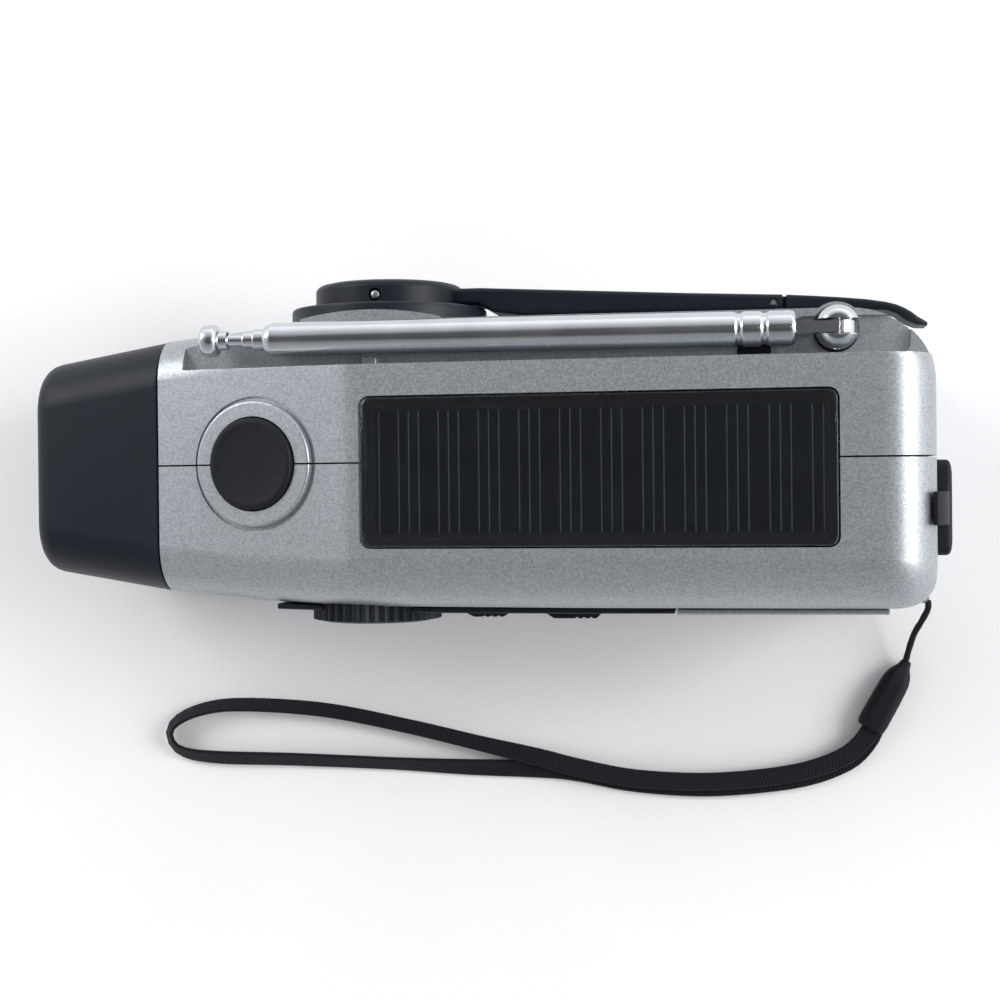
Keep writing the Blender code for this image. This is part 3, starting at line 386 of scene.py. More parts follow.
bump = add_node(tree, "ShaderNodeBump", {"Strength": 0.12, "Distance": 0.00001},
                {"Height": scratches.outputs["Fac"]})
tree.links.new(bump.outputs[0], shader.inputs["Normal"])
print(chrome.name, len(tree.nodes), "nodes")

# %% [markdown]
# ## Zinc-plated steel
# Screws, pins, axles and the speaker basket are pressed or turned steel with a thin zinc plate:
# grey, a little cloudy, with short brush marks.

# %% Steel
steel, tree, shader, place = begin("zinc_plated_steel", "steel", "#a7a8aa", 0.34, Metallic=1.0)
spangle = add_node(tree, "ShaderNodeTexVoronoi", {"Scale": per_metre(1.8)}, {"Vector": place})
cell = add_node(tree, "ShaderNodeSeparateColor", {}, {"Color": spangle.outputs["Color"]})
tone = add_node(tree, "ShaderNodeMix", {"data_type": "RGBA", 6: linear("#96989b"),
                                        7: linear("#b6b7b8")}, {0: cell.outputs[0]})
tree.links.new(tone.outputs[2], shader.inputs["Base Color"])
brushed = add_node(tree, "ShaderNodeTexNoise", {"Scale": per_metre(0.25), "Detail": 2.0},
                   {"Vector": place})
gloss = add_node(tree, "ShaderNodeMapRange", {"To Min": 0.26, "To Max": 0.44},
                 {"Value": brushed.outputs["Fac"]})
tree.links.new(gloss.outputs[0], shader.inputs["Roughness"])
bump = add_node(tree, "ShaderNodeBump", {"Strength": 0.2, "Distance": 0.00001},
                {"Height": brushed.outputs["Fac"]})
tree.links.new(bump.outputs[0], shader.inputs["Normal"])
print(steel.name, len(tree.nodes), "nodes")

# %% [markdown]
# ## Clear polycarbonate and printed border
# The solar window, the flashlight lens and the LED are taken to be polycarbonate, whose usual IOR
# is 1.58. With that value the window mirrored too much of the room, so it was lowered to
# 1.45. Clear plastic in use has fine wiping marks that only show in its highlights. The window's
# border is printed black on its back, so the moulding under it stays hidden.

# %% Clear polycarbonate and ink
clear, tree, shader, place = begin("clear_polycarbonate", "clear_plastic", "#dfe5ea", 0.03,
                                   IOR=1.45, Transmission_Weight=1.0)
wipes = add_node(tree, "ShaderNodeTexNoise", {"Scale": per_metre(5.0), "Detail": 6.0},
                 {"Vector": place})
gloss = add_node(tree, "ShaderNodeMapRange", {"From Min": 0.45, "From Max": 0.75, "To Min": 0.02,
                                              "To Max": 0.12}, {"Value": wipes.outputs["Fac"]})
tree.links.new(gloss.outputs[0], shader.inputs["Roughness"])
bump = add_node(tree, "ShaderNodeBump", {"Strength": 0.04, "Distance": 0.00002},
                {"Height": wipes.outputs["Fac"]})
tree.links.new(bump.outputs[0], shader.inputs["Normal"])

ink, tree, shader, place = begin("black_screen_print", "clear_plastic", "#0b0e12", 0.5)
mesh_marks = add_node(tree, "ShaderNodeTexNoise", {"Scale": per_metre(0.3)}, {"Vector": place})
gloss = add_node(tree, "ShaderNodeMapRange", {"To Min": 0.42, "To Max": 0.6},
                 {"Value": mesh_marks.outputs["Fac"]})
tree.links.new(gloss.outputs[0], shader.inputs["Roughness"])
print(clear.name, "and", ink.name)

# %% [markdown]
# ## Silicon solar cell
# A small silicon panel is nearly black with a cold tint. Bare silicon has an IOR above 3, and a
# coated cell looks more like 1.9; 1.45 was matched to how dark the cell is behind its
# window. Hair-thin conductor
# fingers cross it, here in groups of three: 1.8 mm apart inside a group and 7.15 mm from group to
# group. A wrapped coordinate repeats one group along the whole cell.

# %% Solar cell
FINGER_STEP = 1.80
GROUP_STEP = 7.15
FIRST_FINGER_X = -12.5
silicon, tree, shader, place = begin("silicon_cell", "solar_silicon", "#141b23", 0.28, IOR=1.45)
axes = add_node(tree, "ShaderNodeSeparateXYZ", {}, {"Vector": place})
along = add_node(tree, "ShaderNodeMath",
                 {"operation": "WRAP", 1: (GROUP_STEP + FIRST_FINGER_X) * MM,
                  2: FIRST_FINGER_X * MM},
                 {0: axes.outputs["X"]})
lines = None
for finger in range(3):
    centre = (FIRST_FINGER_X + 0.9 + finger * FINGER_STEP) * MM
    away = add_node(tree, "ShaderNodeMath", {"operation": "SUBTRACT", 1: centre},
                    {0: along.outputs[0]})
    near = add_node(tree, "ShaderNodeMath", {"operation": "ABSOLUTE"}, {0: away.outputs[0]})
    line = add_node(tree, "ShaderNodeMapRange", {"From Min": 0.13 * MM, "From Max": 0.05 * MM},
                    {"Value": near.outputs[0]})
    if lines is None:
        lines = line
    else:
        lines = add_node(tree, "ShaderNodeMath", {"operation": "MAXIMUM"},
                         {0: lines.outputs[0], 1: line.outputs[0]})
grain = add_node(tree, "ShaderNodeTexVoronoi", {"Scale": per_metre(9.0)}, {"Vector": place})
tone = add_node(tree, "ShaderNodeSeparateColor", {}, {"Color": grain.outputs["Color"]})
base = add_node(tree, "ShaderNodeMix", {"data_type": "RGBA", 6: linear("#0a0f15"),
                                        7: linear("#131a23")}, {0: tone.outputs[0]})
cell_colour = add_node(tree, "ShaderNodeMix", {"data_type": "RGBA", 7: linear("#6c757d")},
                       {0: lines.outputs[0], 6: base.outputs[2]})
tree.links.new(cell_colour.outputs[2], shader.inputs["Base Color"])
print(silicon.name, len(tree.nodes), "nodes")

# %% [markdown]
# ## Woven strap
# The wrist strap is flat polyester braid, dyed black, whose ribs run across it about 0.7 mm
# apart. Its colour is painted lighter on the ribs and darker between them, a painted highlight and
# painted shade, with some random fuzz tone. The fibres scatter light at grazing angles, which the
# sheen stands for.

# %% Webbing
webbing, tree, shader, place = begin("polyester_webbing", "strap_webbing", "#0a0e14", 0.78,
                                     Specular_IOR_Level=0.25, Sheen_Weight=0.05)
threads = add_node(tree, "ShaderNodeUVMap", {"uv_map": "weave"})
axes = add_node(tree, "ShaderNodeSeparateXYZ", {}, {"Vector": threads.outputs[0]})
warp = add_node(tree, "ShaderNodeMath", {"operation": "MULTIPLY", 1: 2.0 * math.pi / 0.7},
                {0: axes.outputs["X"]})
weft = add_node(tree, "ShaderNodeMath", {"operation": "MULTIPLY", 1: 2.0 * math.pi / 0.62},
                {0: axes.outputs["Y"]})
rib = add_node(tree, "ShaderNodeMath", {"operation": "SINE"}, {0: warp.outputs[0]})
row = add_node(tree, "ShaderNodeMath", {"operation": "SINE"}, {0: weft.outputs[0]})
woven = add_node(tree, "ShaderNodeMath", {"operation": "MULTIPLY"},
                 {0: rib.outputs[0], 1: row.outputs[0]})
fuzz = add_node(tree, "ShaderNodeTexNoise", {"Scale": per_metre(0.4), "Detail": 2.0},
                {"Vector": place})
height = add_node(tree, "ShaderNodeMath", {"operation": "ADD"},
                  {0: woven.outputs[0], 1: fuzz.outputs["Fac"]})
# painted highlight and shade: the weave's ridges are coloured lighter and its hollows darker, plus
# random fuzz tone
light = add_node(tree, "ShaderNodeMapRange", {"From Min": -1.0, "From Max": 2.0},
                 {"Value": height.outputs[0]})
shade = add_node(tree, "ShaderNodeMix", {"data_type": "RGBA", 6: linear("#04070b"),
                                         7: linear("#12181f")}, {0: light.outputs[0]})
tree.links.new(shade.outputs[2], shader.inputs["Base Color"])
bump = add_node(tree, "ShaderNodeBump", {"Strength": 0.6, "Distance": 0.00012},
                {"Height": height.outputs[0]})
tree.links.new(bump.outputs[0], shader.inputs["Normal"])
print(webbing.name, len(tree.nodes), "nodes")

# %% [markdown]
# ## Wrist strap
# The strap is the only part that lies free, so it is laid out first. A thin braided cord comes
# from the eyelet, and a rubber sleeve joins it to a flat band that goes out, turns back and ends
# in the same sleeve. The band is a ribbon swept along its route: where it isn't pressed flat it
# rolls partly onto its edge, so each route point also has a roll angle.

# %% Strap routes
CORD_ROUTE = ((83.2, -29.9, 10.6), (83.2, -31.5, 9.7), (82.2, -33.9, 7.9), (81.0, -36.4, 6.1),
              (80.2, -39.2, 4.4), (79.6, -41.9, 3.2))
BAND_ROUTE = ((72.9, -55.3, 2.9), (71.0, -58.2, 2.8), (67.4, -61.2, 2.8), (60.4, -63.9, 2.8),
              (51.0, -65.6, 2.8), (39.0, -66.5, 2.8), (25.4, -65.9, 2.8), (14.1, -63.8, 2.8),
              (7.0, -62.0, 2.8), (-4.7, -59.4, 2.6), (-21.2, -55.7, 2.4), (-38.4, -52.6, 2.4),
              (-55.8, -51.7, 2.4), (-64.5, -52.9, 2.4), (-69.9, -55.6, 2.4), (-70.9, -58.6, 2.4),
              (-68.4, -61.5, 2.4), (-61.0, -62.7, 2.2), (-44.5, -63.0, 2.0), (-22.3, -63.7, 1.6),
              (-7.6, -64.3, 1.1), (7.0, -64.6, 0.9), (14.6, -65.2, 0.9), (25.4, -67.1, 0.9),
              (39.0, -67.9, 0.9), (51.5, -67.0, 0.9), (61.1, -65.3, 0.9), (68.4, -62.3, 0.9),
              (71.9, -58.9, 1.0), (73.5, -56.0, 1.2))
BAND_ROLL = (0, 0, 5, 8, 8, 5, 0, -12, -25, -48, -52, -50, -52, -55, -58, -60, -50, -40, -42, -45,
             -25, -8, 0, 5, 8, 8, 5, 0, 0, 0)
BAND_WIDTH = 3.7


def smooth_route(points, spacing):
    """Evenly spaced points on a Catmull-Rom curve through the route."""
    dense = []
    padded = [points[0]] + list(points) + [points[-1]]
    for p0, p1, p2, p3 in zip(padded, padded[1:], padded[2:], padded[3:]):
        a, b, c, d = (Vector(p) for p in (p0, p1, p2, p3))
        for i in range(12):
            t = i / 12.0
            dense.append(0.5 * (2.0 * b + (c - a) * t + (2.0 * a - 5.0 * b + 4.0 * c - d) * t ** 2
                                + (3.0 * b - a - 3.0 * c + d) * t ** 3))
    dense.append(Vector(points[-1]))
    total = sum((q - p).length for p, q in zip(dense, dense[1:]))
    count = max(2, round(total / spacing))
    result, walked = [dense[0]], 0.0
    for p, q in zip(dense, dense[1:]):
        length = (q - p).length
        while (length > 0.0 and walked + length >= total / count * len(result)
               and len(result) < count):
            result.append(p.lerp(q, (total / count * len(result) - walked) / length))
        walked += length
    return result + [dense[-1]]


def sweep(path, sections):
    """A tube along a path. Each section is a list of (side, up) offsets at that point; a UV map
    named weave holds millimetres along and round it."""
    rings, along = [], [0.0]
    for i, point in enumerate(path):
        ahead = (path[min(i + 1, len(path) - 1)] - path[max(i - 1, 0)]).normalized()
        side = ahead.cross(Vector((0.0, 0.0, 1.0))).normalized()
        top = side.cross(ahead)
        rings.append([point + side * s + top * u for s, u in sections[i]])
        if i:
            along.append(along[-1] + (point - path[i - 1]).length)
    bm = skin(rings)
    uv = bm.loops.layers.uv.new("weave")
    bm.verts.index_update()
    count = len(sections[0])
    for face in bm.faces:
        low = min(vert.index % count for vert in face.verts)
        high = max(vert.index % count for vert in face.verts)
        for loop in face.loops:
            row, place_round = divmod(loop.vert.index, count)
            if high - low > 1 and place_round == 0:
                place_round = count
            loop[uv].uv = (along[row], place_round * 0.9)
    return bm


band_path = smooth_route(BAND_ROUTE, 1.8)

# %% Strap pieces
route_vectors = [Vector(p) for p in BAND_ROUTE]


def roll_at(point):
    """The roll at a path point, from the two route points that it lies between."""
    def detour(i):
        start, end = route_vectors[i], route_vectors[i + 1]
        return (start - point).length + (end - point).length - (end - start).length

    best = min(range(len(route_vectors) - 1), key=detour)
    a, b = route_vectors[best], route_vectors[best + 1]
    share = min(1.0, max(0.0, (point - a).dot(b - a) / (b - a).length_squared))
    return math.radians(BAND_ROLL[best] * (1.0 - share) + BAND_ROLL[best + 1] * share)


def ribbon_section(roll, width, thick):
    """A flat band's section with round edges, rolled about its middle."""
    outline = rounded(-width / 2, width / 2, -thick / 2, thick / 2, thick * 0.48, 3)
    c, s = math.cos(roll), math.sin(roll)
    return [(a * c - b * s, a * s + b * c) for a, b in outline]


rolls = [roll_at(point) for point in band_path]
for _ in range(4):
    middle = [(a + b + c) / 3 for a, b, c in zip(rolls, rolls[1:], rolls[2:])]
    rolls = [rolls[0]] + middle + [rolls[-1]]
for point, roll in zip(band_path, rolls):
    point.z = max(point.z, 0.5 * BAND_WIDTH * abs(math.sin(roll)) + 0.5)
band = solid(sweep(band_path, [ribbon_section(roll, BAND_WIDTH, 0.8) for roll in rolls]),
             "wrist_band")
piece(band, webbing, "housing", ["strap_band"])

cord_path = smooth_route(CORD_ROUTE, 0.35)
cord_rings = []
for i in range(len(cord_path)):
    ring = []
    for j in range(24):
        angle = 2.0 * math.pi * j / 24
        plait = abs(math.sin(2.0 * (angle + i * 0.22))) * abs(math.cos(angle - i * 0.3))
        bulge = 0.58 + 0.06 * plait
        ring.append((bulge * math.cos(angle), bulge * math.sin(angle)))
    cord_rings.append(ring)
thin_cord = solid(sweep(cord_path, cord_rings), "wrist_cord")
piece(thin_cord, webbing, "housing", ["strap_cord"])

sleeve_from, sleeve_to = Vector((79.3, -43.2, 2.3)), Vector((73.2, -54.3, 2.3))
axis = (sleeve_to - sleeve_from).normalized()
full = (sleeve_to - sleeve_from).length
sleeve_path, sleeve_rings = [], []
for along, wide, high in ((-1.2, 0.75, 0.7), (-0.9, 1.0, 0.95), (0.2, 1.3, 1.15),
                          (1.1, 1.9, 1.5), (1.9, 2.3, 1.75), (3.0, 2.6, 1.95),
                          (4.4, 2.75, 2.05), (7.0, 2.85, 2.12),
                          (full - 0.4, 2.9, 2.18), (full + 0.8, 2.8, 2.1), (full + 1.4, 2.5, 1.85)):
    sleeve_path.append(sleeve_from + axis * along)
    sleeve_rings.append([(a * wide / 2.9, b * high / 2.2) for a, b in
                         rounded(-2.9, 2.9, -2.2, 2.2, 1.9, 8)])
sleeve = solid(sweep(sleeve_path, sleeve_rings), "wrist_sleeve")
piece(sleeve, rubber, "housing", ["strap_sleeve"])
print("strap laid")

# %% [markdown]
# ## Housing form
# The housing is one long loft: a rounded rectangle whose top rises 13 degrees to a knee and then
# 3 degrees to the jack end, where all sides curve in. Two shells come from it: the whole body is
# shaped and pierced first, then each half is kept by intersecting with a block, so the seam runs
# true through every feature, as it does when two mould halves are made from one drawing.

# %% Housing form
SEAM_X, RIGHT_X, MID_Y, BASE_Z, TOP_Z, WALL = -57.6, 80.8, -2.6, 2.0, 60.0, 2.0
KNEE_X = -20.6


def half_depth(x):
    """Half of the housing's depth at x."""
    points = ((-57.6, 23.3), (-38.0, 24.9), (-15.0, 25.7), (20.0, 25.9))
    for (xa, da), (xb, db) in zip(points, points[1:]):
        if x <= xb:
            return da + (db - da) * (x - xa) / (xb - xa)
    return points[-1][1]


def top_height(x):
    height = TOP_Z - max(0.0, 72.0 - max(x, KNEE_X)) * math.tan(math.radians(3.0))
    return height - max(0.0, KNEE_X - x) * math.tan(math.radians(13.0))


def quarter(x, start, length, depth):
    """How far a quarter-ellipse has curved in at x."""
    if x <= start:
        return 0.0
    reach = min(1.0, (x - start) / length)
    return depth * (1.0 - math.sqrt(1.0 - reach * reach))


def body_ring(x, wall=0.0, steps=12):
    """One section of the housing, a wall's thickness inside its outer face."""
    s = min(x + wall, RIGHT_X - 0.001) if x > 60.0 else x
    back = MID_Y + half_depth(x) - quarter(s, 66.0, 14.8, 12.0) - wall
    front = MID_Y - half_depth(x) + quarter(s, 74.0, 6.8, 5.0) + wall
    high = top_height(x) - quarter(s, 71.8, 9.0, 9.5) - wall
    low = BASE_Z + quarter(s, 75.0, 5.8, 5.0) + wall
    shrink = 0.6 * quarter(s, 71.8, 9.0, 9.5) + 0.7 * wall
    ring = []
    for y, z, sy, sz, start, radius in (
            (front, low, 1, 1, 180.0, max(1.2, 5.0 - shrink)),
            (back, low, -1, 1, 270.0, max(1.2, 5.0 - shrink)),
            (back, high, -1, -1, 0.0, max(1.6, 8.0 - shrink)),
            (front, high, 1, -1, 90.0, max(1.6, 9.0 - shrink))):
        for i in range(steps + 1):
            angle = math.radians(start + 90.0 * i / steps)
            ring.append((x, y + sy * radius + radius * math.cos(angle),
                         z + sz * radius + radius * math.sin(angle)))
    return ring


def stations(first, last, fine):
    """Section places: even along the body, crowding towards the round end."""
    places = [first, -52.0, -47.0, -42.0, -38.0, -33.0, -29.0, -25.0, KNEE_X - 1.6, KNEE_X - 0.5,
              KNEE_X + 0.5, KNEE_X + 1.6, -15.0, -4.0, 8.0, 20.0, 32.0, 44.0, 55.0]
    return places + [66.0 + (last - 66.0) * math.sin(0.5 * math.pi * i / fine)
                     for i in range(fine + 1)]


WINDOW = (22.9, -4.3, top_height(22.9))
BUTTON = (-38.3, -2.5, top_height(-38.3))
HUB_X, HUB_Z = -18.0, 28.0
AERIAL = (64.4, 19.6, 51.3)
KNOB = (-19.3, 0.0, 36.0)
SPEAKER = (55.0, 0.0, 29.0)
SWITCH_X = {"power": 1.1, "band": 17.1}
WINDOW_TILT, BUTTON_TILT = 3.0, 13.0
print("the window stands", round(WINDOW[2], 1), "mm high")

# %% Shared cutters


def ledge(wall=0.0):
    """The room above the step that the aerial lies on."""
    left = -52.6 - wall
    side = ((left, 45.3 - wall), (-22.0, 47.4 - wall), (54.0, 47.4 - wall), (54.0, 47.8 - wall),
            (90.0, 47.8 - wall), (90.0, 70.0), (-49.5 - wall, 70.0), (left, 60.0))
    return skin([[(x, y, z) for x, z in side] for y in (14.7 - wall, 60.0)])


def control_cutters():
    tools = [lathe(((-40.0, 12.3), (-20.0, 12.3)), "Y", KNOB)]
    return tools + [block(x - 3.6, x + 7.6, -40.0, -20.0, 31.3, 34.7) for x in SWITCH_X.values()]


inside = solid(skin([body_ring(x, WALL, 5) for x in stations(SEAM_X - 5.0, RIGHT_X - WALL, 8)]))
cut(inside, [ledge(WALL)])
hollow = bmesh.new()
hollow.from_mesh(inside.data)
hollow.transform(Matrix.Scale(1000.0, 4))
bpy.data.objects.remove(inside, do_unlink=True)
print("inside form has", len(hollow.faces), "faces")

# %% Shell halves
body = solid(skin([body_ring(x) for x in stations(SEAM_X, RIGHT_X, 18)]), "shell")
crest = [(HUB_X + 57.0 * math.sin(a), 25.0 - 57.0 * (1.0 - math.cos(a)))
         for a in [math.radians(-13.0 + 26.0 * i / 24) for i in range(25)]]
crest += [(HUB_X + 12.0, 20.0), (HUB_X - 12.0, 20.0)]
plateau = lathe(((-6.0, 11.3), (0.7, 11.3), (0.9, 11.15), (1.0, 10.8)), "Z", BUTTON, 96)
cut(body, [lathe(((30.0, 4.75), (47.8, 4.75)), "Z", (AERIAL[0], AERIAL[1], 0.0)),
           prism(crest, "Z", 10.0, 50.0), tilted(plateau, BUTTON_TILT, BUTTON)], "UNION")
x, y, z = WINDOW
window_hole = tilted(prism(rounded(x - 41.4, x + 41.4, y - 13.4, y + 13.4, 1.9), "Z", z - 9.0,
                           z + 6.0), WINDOW_TILT, WINDOW)
button_hole = tilted(lathe(((-12.0, 8.5), (8.0, 8.5)), "Z", BUTTON, 96), BUTTON_TILT, BUTTON)
groove = tilted(lathe(((-0.5, 11.32), (-0.5, 12.05), (3.0, 12.05), (3.0, 11.32)), "Z", BUTTON, 96,
                      closed=True), BUTTON_TILT, BUTTON)
cut(body, [ledge(), prism(rounded(56.5, 77.0, 14.7, 21.9, 2.6), "Z", 46.5, 60.0),
           lathe(((46.5, 4.2), (60.0, 4.2)), "Z", (AERIAL[0], AERIAL[1], 0.0)),
           hollow, window_hole, button_hole, groove])
halves = {}
for name, y0, y1 in (("front", -80.0, MID_Y - 0.15), ("rear", MID_Y + 0.15, 80.0)):
    half = bpy.data.objects.new("shell_" + name, body.data.copy())
    bpy.context.scene.collection.objects.link(half)
    halves[name] = cut(half, [block(-120.0, 120.0, y0, y1, -20.0, 90.0)], "INTERSECT")
bpy.data.objects.remove(body, do_unlink=True)
print({name: len(half.data.polygons) for name, half in halves.items()})

# %% Shell openings
SCREWS = ((-48.0, 12.0), (-48.0, 32.0), (68.0, 24.0))


def screw_face(x):
    return MID_Y + half_depth(x) - quarter(x, 66.0, 14.8, 12.0)


tools = [lathe(((10.0, 14.6), (40.0, 14.6)), "Y", (HUB_X, 0.0, HUB_Z), 96),
         lathe(((23.0, 18.8), (40.0, 18.8)), "Y", (HUB_X, 0.0, HUB_Z), 96),
         block(25.0, 71.0, 1.2, 17.8, 0.0, 6.0),
         lathe(((40.0, 2.35), (60.0, 2.35)), "Z", (AERIAL[0], AERIAL[1], 0.0), 40)]
for x, z in SCREWS:
    tools.append(lathe(((10.0, 1.2), (40.0, 1.2)), "Y", (x, 0.0, z), 24))
    tools.append(lathe(((screw_face(x) - 1.1, 2.3), (40.0, 2.3)), "Y", (x, 0.0, z), 32))
cut(halves["rear"], tools)
cut(halves["rear"], [block(-18.9, -16.3, 14.8, 16.5, 46.9, 49.4, 0.35),
                     block(19.0, 22.0, 21.4, 23.0, 46.9, 48.0, 0.25)], "UNION")
cut(halves["front"], control_cutters() + [lathe(((-40.0, 15.5), (-20.0, 15.5)), "Y", SPEAKER),
                                          block(74.0, 90.0, -17.0, -5.4, 20.5, 43.5)])
piece(halves["front"], silver_paint, "housing", ["front_shell"], edge=0.18)
piece(halves["rear"], silver_paint, "housing", ["rear_shell"], edge=0.18)
print("front shell faces:", len(halves["front"].data.polygons))

# %% [markdown]
# ## Flashlight head
# The head is a thick black cap over the end of both shells. Seen from above it narrows a little
# towards the lens and its front edge is rounded. It is one loft outside and one inside, joined
# at both ends, so that the lens really sits in an opening.

# %% Head, lens and lamp


def head_ring(x, inset=0.0, steps=12):
    t = (SEAM_X - x) / 26.4
    depth = 23.3 - 3.9 * t - inset
    low, high = BASE_Z + 1.0 + 2.6 * t + inset, top_height(SEAM_X) - 5.6 * t - inset
    outline = rounded(MID_Y - depth, MID_Y + depth, low, high, max(2.0, 9.0 - inset), steps)
    return [(x, y, z) for y, z in outline]


seam = SEAM_X - MOULD_GAP
outer = [head_ring(*place) for place in (
    (seam, 0.35), (seam - 0.12, 0.1), (seam - 0.4, 0.0), (-64.0, 0.0), (-70.0, 0.0), (-76.0, 0.0),
    (-80.6, 0.0), (-81.8, 0.16), (-82.7, 0.55), (-83.4, 1.2), (-83.85, 2.1), (-84.0, 3.0))]
inner = [head_ring(*place) for place in (
    (-84.0, 3.8), (-83.8, 4.0), (-81.6, 4.2), (-81.6, 2.6), (-70.0, 2.2), (seam, 2.4))]
head = solid(skin(outer + inner, closed=True), "flashlight_head")
piece(head, black_abs, "housing", ["head_bezel"])
lens = solid(skin([head_ring(*place) for place in (
    (-80.4, 3.1), (-81.3, 3.1), (-81.35, 4.55), (-82.5, 4.6), (-82.85, 4.9), (-83.0, 5.6))]),
    "lamp_lens")
piece(lens, clear, "housing", ["lens"])
lamp = (-82.8, MID_Y, 0.5 * (BASE_Z + 2.3 + top_height(SEAM_X) - 2.8))
bowl = [(3.6, 13.4), (4.4, 13.0), (6.3, 12.2), (8.0, 11.2), (10.4, 9.8), (12.4, 8.0), (14.0, 6.3),
        (15.0, 4.6), (16.2, 4.6), (13.8, 9.0), (9.0, 12.2), (5.0, 14.2), (4.6, 14.8), (3.6, 14.8)]
reflector = solid(lathe(bowl, "X", lamp, 96, closed=True), "lamp_bowl")
piece(reflector, chrome, "housing", ["reflector"])
led = solid(lathe([(11.0, 0.6), (11.15, 1.2), (11.7, 2.0), (12.6, 2.5), (17.6, 2.5), (17.6, 2.9),
                   (18.6, 2.9)], "X", lamp, 48), "lamp_led")
piece(led, clear, "housing", ["flashlight_led"])
print("lamp axis height:", round(lamp[2], 1), "mm")

# %% [markdown]
# ## Solar window and light button
# The window is one clear moulding: a raised rim around a face that lies 0.35 mm lower. The rim
# carries the black print on its back. The rubber button has a shallow dish for the thumb.

# %% Window, cell and button
x, y, z = WINDOW
rows = []
for level, inset, radius in ((-3.0, 0.0, 1.6), (-0.55, 0.0, 1.6), (-0.25, 0.1, 1.55),
                             (-0.1, 0.35, 1.4), (-0.1, 1.5, 1.0), (-0.42, 1.95, 0.8)):
    outline = rounded(x - 41.1 + inset, x + 41.1 - inset, y - 13.1 + inset, y + 13.1 - inset,
                      radius)
    rows.append([(a, b, z + level) for a, b in outline])
cover = solid(tilted(skin(rows), WINDOW_TILT, WINDOW), "window_cover_clear")
piece(cover, clear, "housing", ["window_cover"])

rim = solid(tilted(prism(rounded(x - 41.0, x + 41.0, y - 13.0, y + 13.0, 1.6), "Z", z - 3.16,
                         z - 3.04), WINDOW_TILT, WINDOW), "window_print")
cut(rim, [tilted(prism(rounded(x - 38.9, x + 38.9, y - 10.7, y + 10.7, 0.6), "Z", z - 9.0, z + 5.0),
                 WINDOW_TILT, WINDOW)])
piece(rim, ink, "housing")
cell_plate = solid(tilted(block(x - 39.2, x + 39.2, y - 10.9, y + 10.9, z - 4.5, z - 3.3, 0.1),
                          WINDOW_TILT, WINDOW), "silicon_plate")
piece(cell_plate, silicon, "housing", ["solar_cell"])

dome = [(-4.2, 3.0), (-2.6, 3.0), (-2.6, 8.2), (1.35, 8.2), (1.7, 8.1), (1.92, 7.85), (2.0, 7.5),
        (1.93, 7.0), (1.8, 6.2), (1.7, 5.0), (1.62, 3.0), (1.6, 1.0)]
button = solid(tilted(lathe(dome, "Z", BUTTON, 96), BUTTON_TILT, BUTTON), "light_button_rubber")
piece(button, rubber, "light_button", ["light_button"])
print("button diameter:", round(button.dimensions.x * 1000, 1), "mm")

# %% [markdown]
# ## Telescopic aerial
# Each stage is a turned profile: the outer tube has a rolled mouth and two crimped grooves near
# its root, where a flattened tongue tips on a cross pin in a slotted base. The inner stages show
# only their ends, and the rod ends in a button.

# %% Aerial
x, y, z = AERIAL
line = (0.0, y, z)
base = solid(lathe([(-5.5, 1.7), (-5.1, 2.1), (1.1, 2.1), (1.1, 3.3), (1.2, 3.55), (1.4, 3.7),
                    (6.4, 3.7), (6.9, 3.62), (7.5, 3.4), (8.1, 3.0), (8.5, 2.5), (8.7, 1.9)], "Z",
                   (x, y, 46.5), 72), "aerial_base")
cut(base, [block(x - 10.0, x + 10.0, y - 1.3, y + 1.3, 48.1, 60.0),
           lathe(((-10.0, 0.8), (10.0, 0.8)), "Y", AERIAL, 32)])
piece(base, chrome, "antenna_base", ["antenna_base"], edge=0.15)
washer = solid(lathe(((0.2, 2.4), (0.2, 3.95), (0.75, 3.95), (0.9, 3.8), (0.9, 2.4)), "Z",
                     (x, y, 46.5), 64, closed=True), "aerial_washer")
piece(washer, rubber, "housing", ["antenna_washer"])
hinge_pin = solid(lathe(((-3.3, 0.45), (-3.2, 0.6), (3.2, 0.6), (3.3, 0.45)), "Y", AERIAL, 32),
                  "aerial_pin")
piece(hinge_pin, steel, "antenna_base", ["antenna_pin"])

profile = [(-36.0, 2.2), (-35.9, 2.42), (-35.7, 2.55), (-35.2, 2.78), (-34.4, 3.05)]
for groove_x in (46.9, 51.3):
    profile += [(groove_x, 3.05), (groove_x + 0.3, 2.86), (groove_x + 0.5, 2.7),
                (groove_x + 1.1, 2.7), (groove_x + 1.3, 2.86), (groove_x + 1.6, 3.05)]
profile += [(56.5, 3.05), (56.9, 2.95), (57.2, 2.75), (57.4, 2.4)]
tube = solid(lathe(profile, "X", line, 72), "aerial_tube")
tongue = [(x - 9.0, z - 2.0), (x, z - 2.5)]
tongue += [(x + 2.9 * math.cos(math.radians(a)), z + 2.5 * math.sin(math.radians(a)))
           for a in range(-80, 91, 10)]
tongue += [(x - 9.0, z + 2.0)]
cut(tube, [prism(tongue, "Y", y - 1.0, y + 1.0)], "UNION")
cut(tube, [lathe(((-46.0, 2.15), (50.0, 2.15)), "X", line, 48),
           lathe(((-5.0, 0.8), (5.0, 0.8)), "Y", AERIAL, 32)])
piece(tube, chrome, "antenna_tube", ["antenna_tube"], edge=0.12)
for name, start, end, radius, bore in (("stage_2", -38.0, 44.0, 1.95, 1.72),
                                       ("stage_3", -40.0, 42.0, 1.5, 1.28)):
    stage = solid(lathe(((start, bore), (start, radius - 0.12), (start + 0.12, radius - 0.02),
                         (start + 0.3, radius), (end, radius), (end, bore)), "X", line, 64,
                        closed=True), "aerial_" + name)
    piece(stage, chrome, "antenna_" + name, ["antenna_" + name])
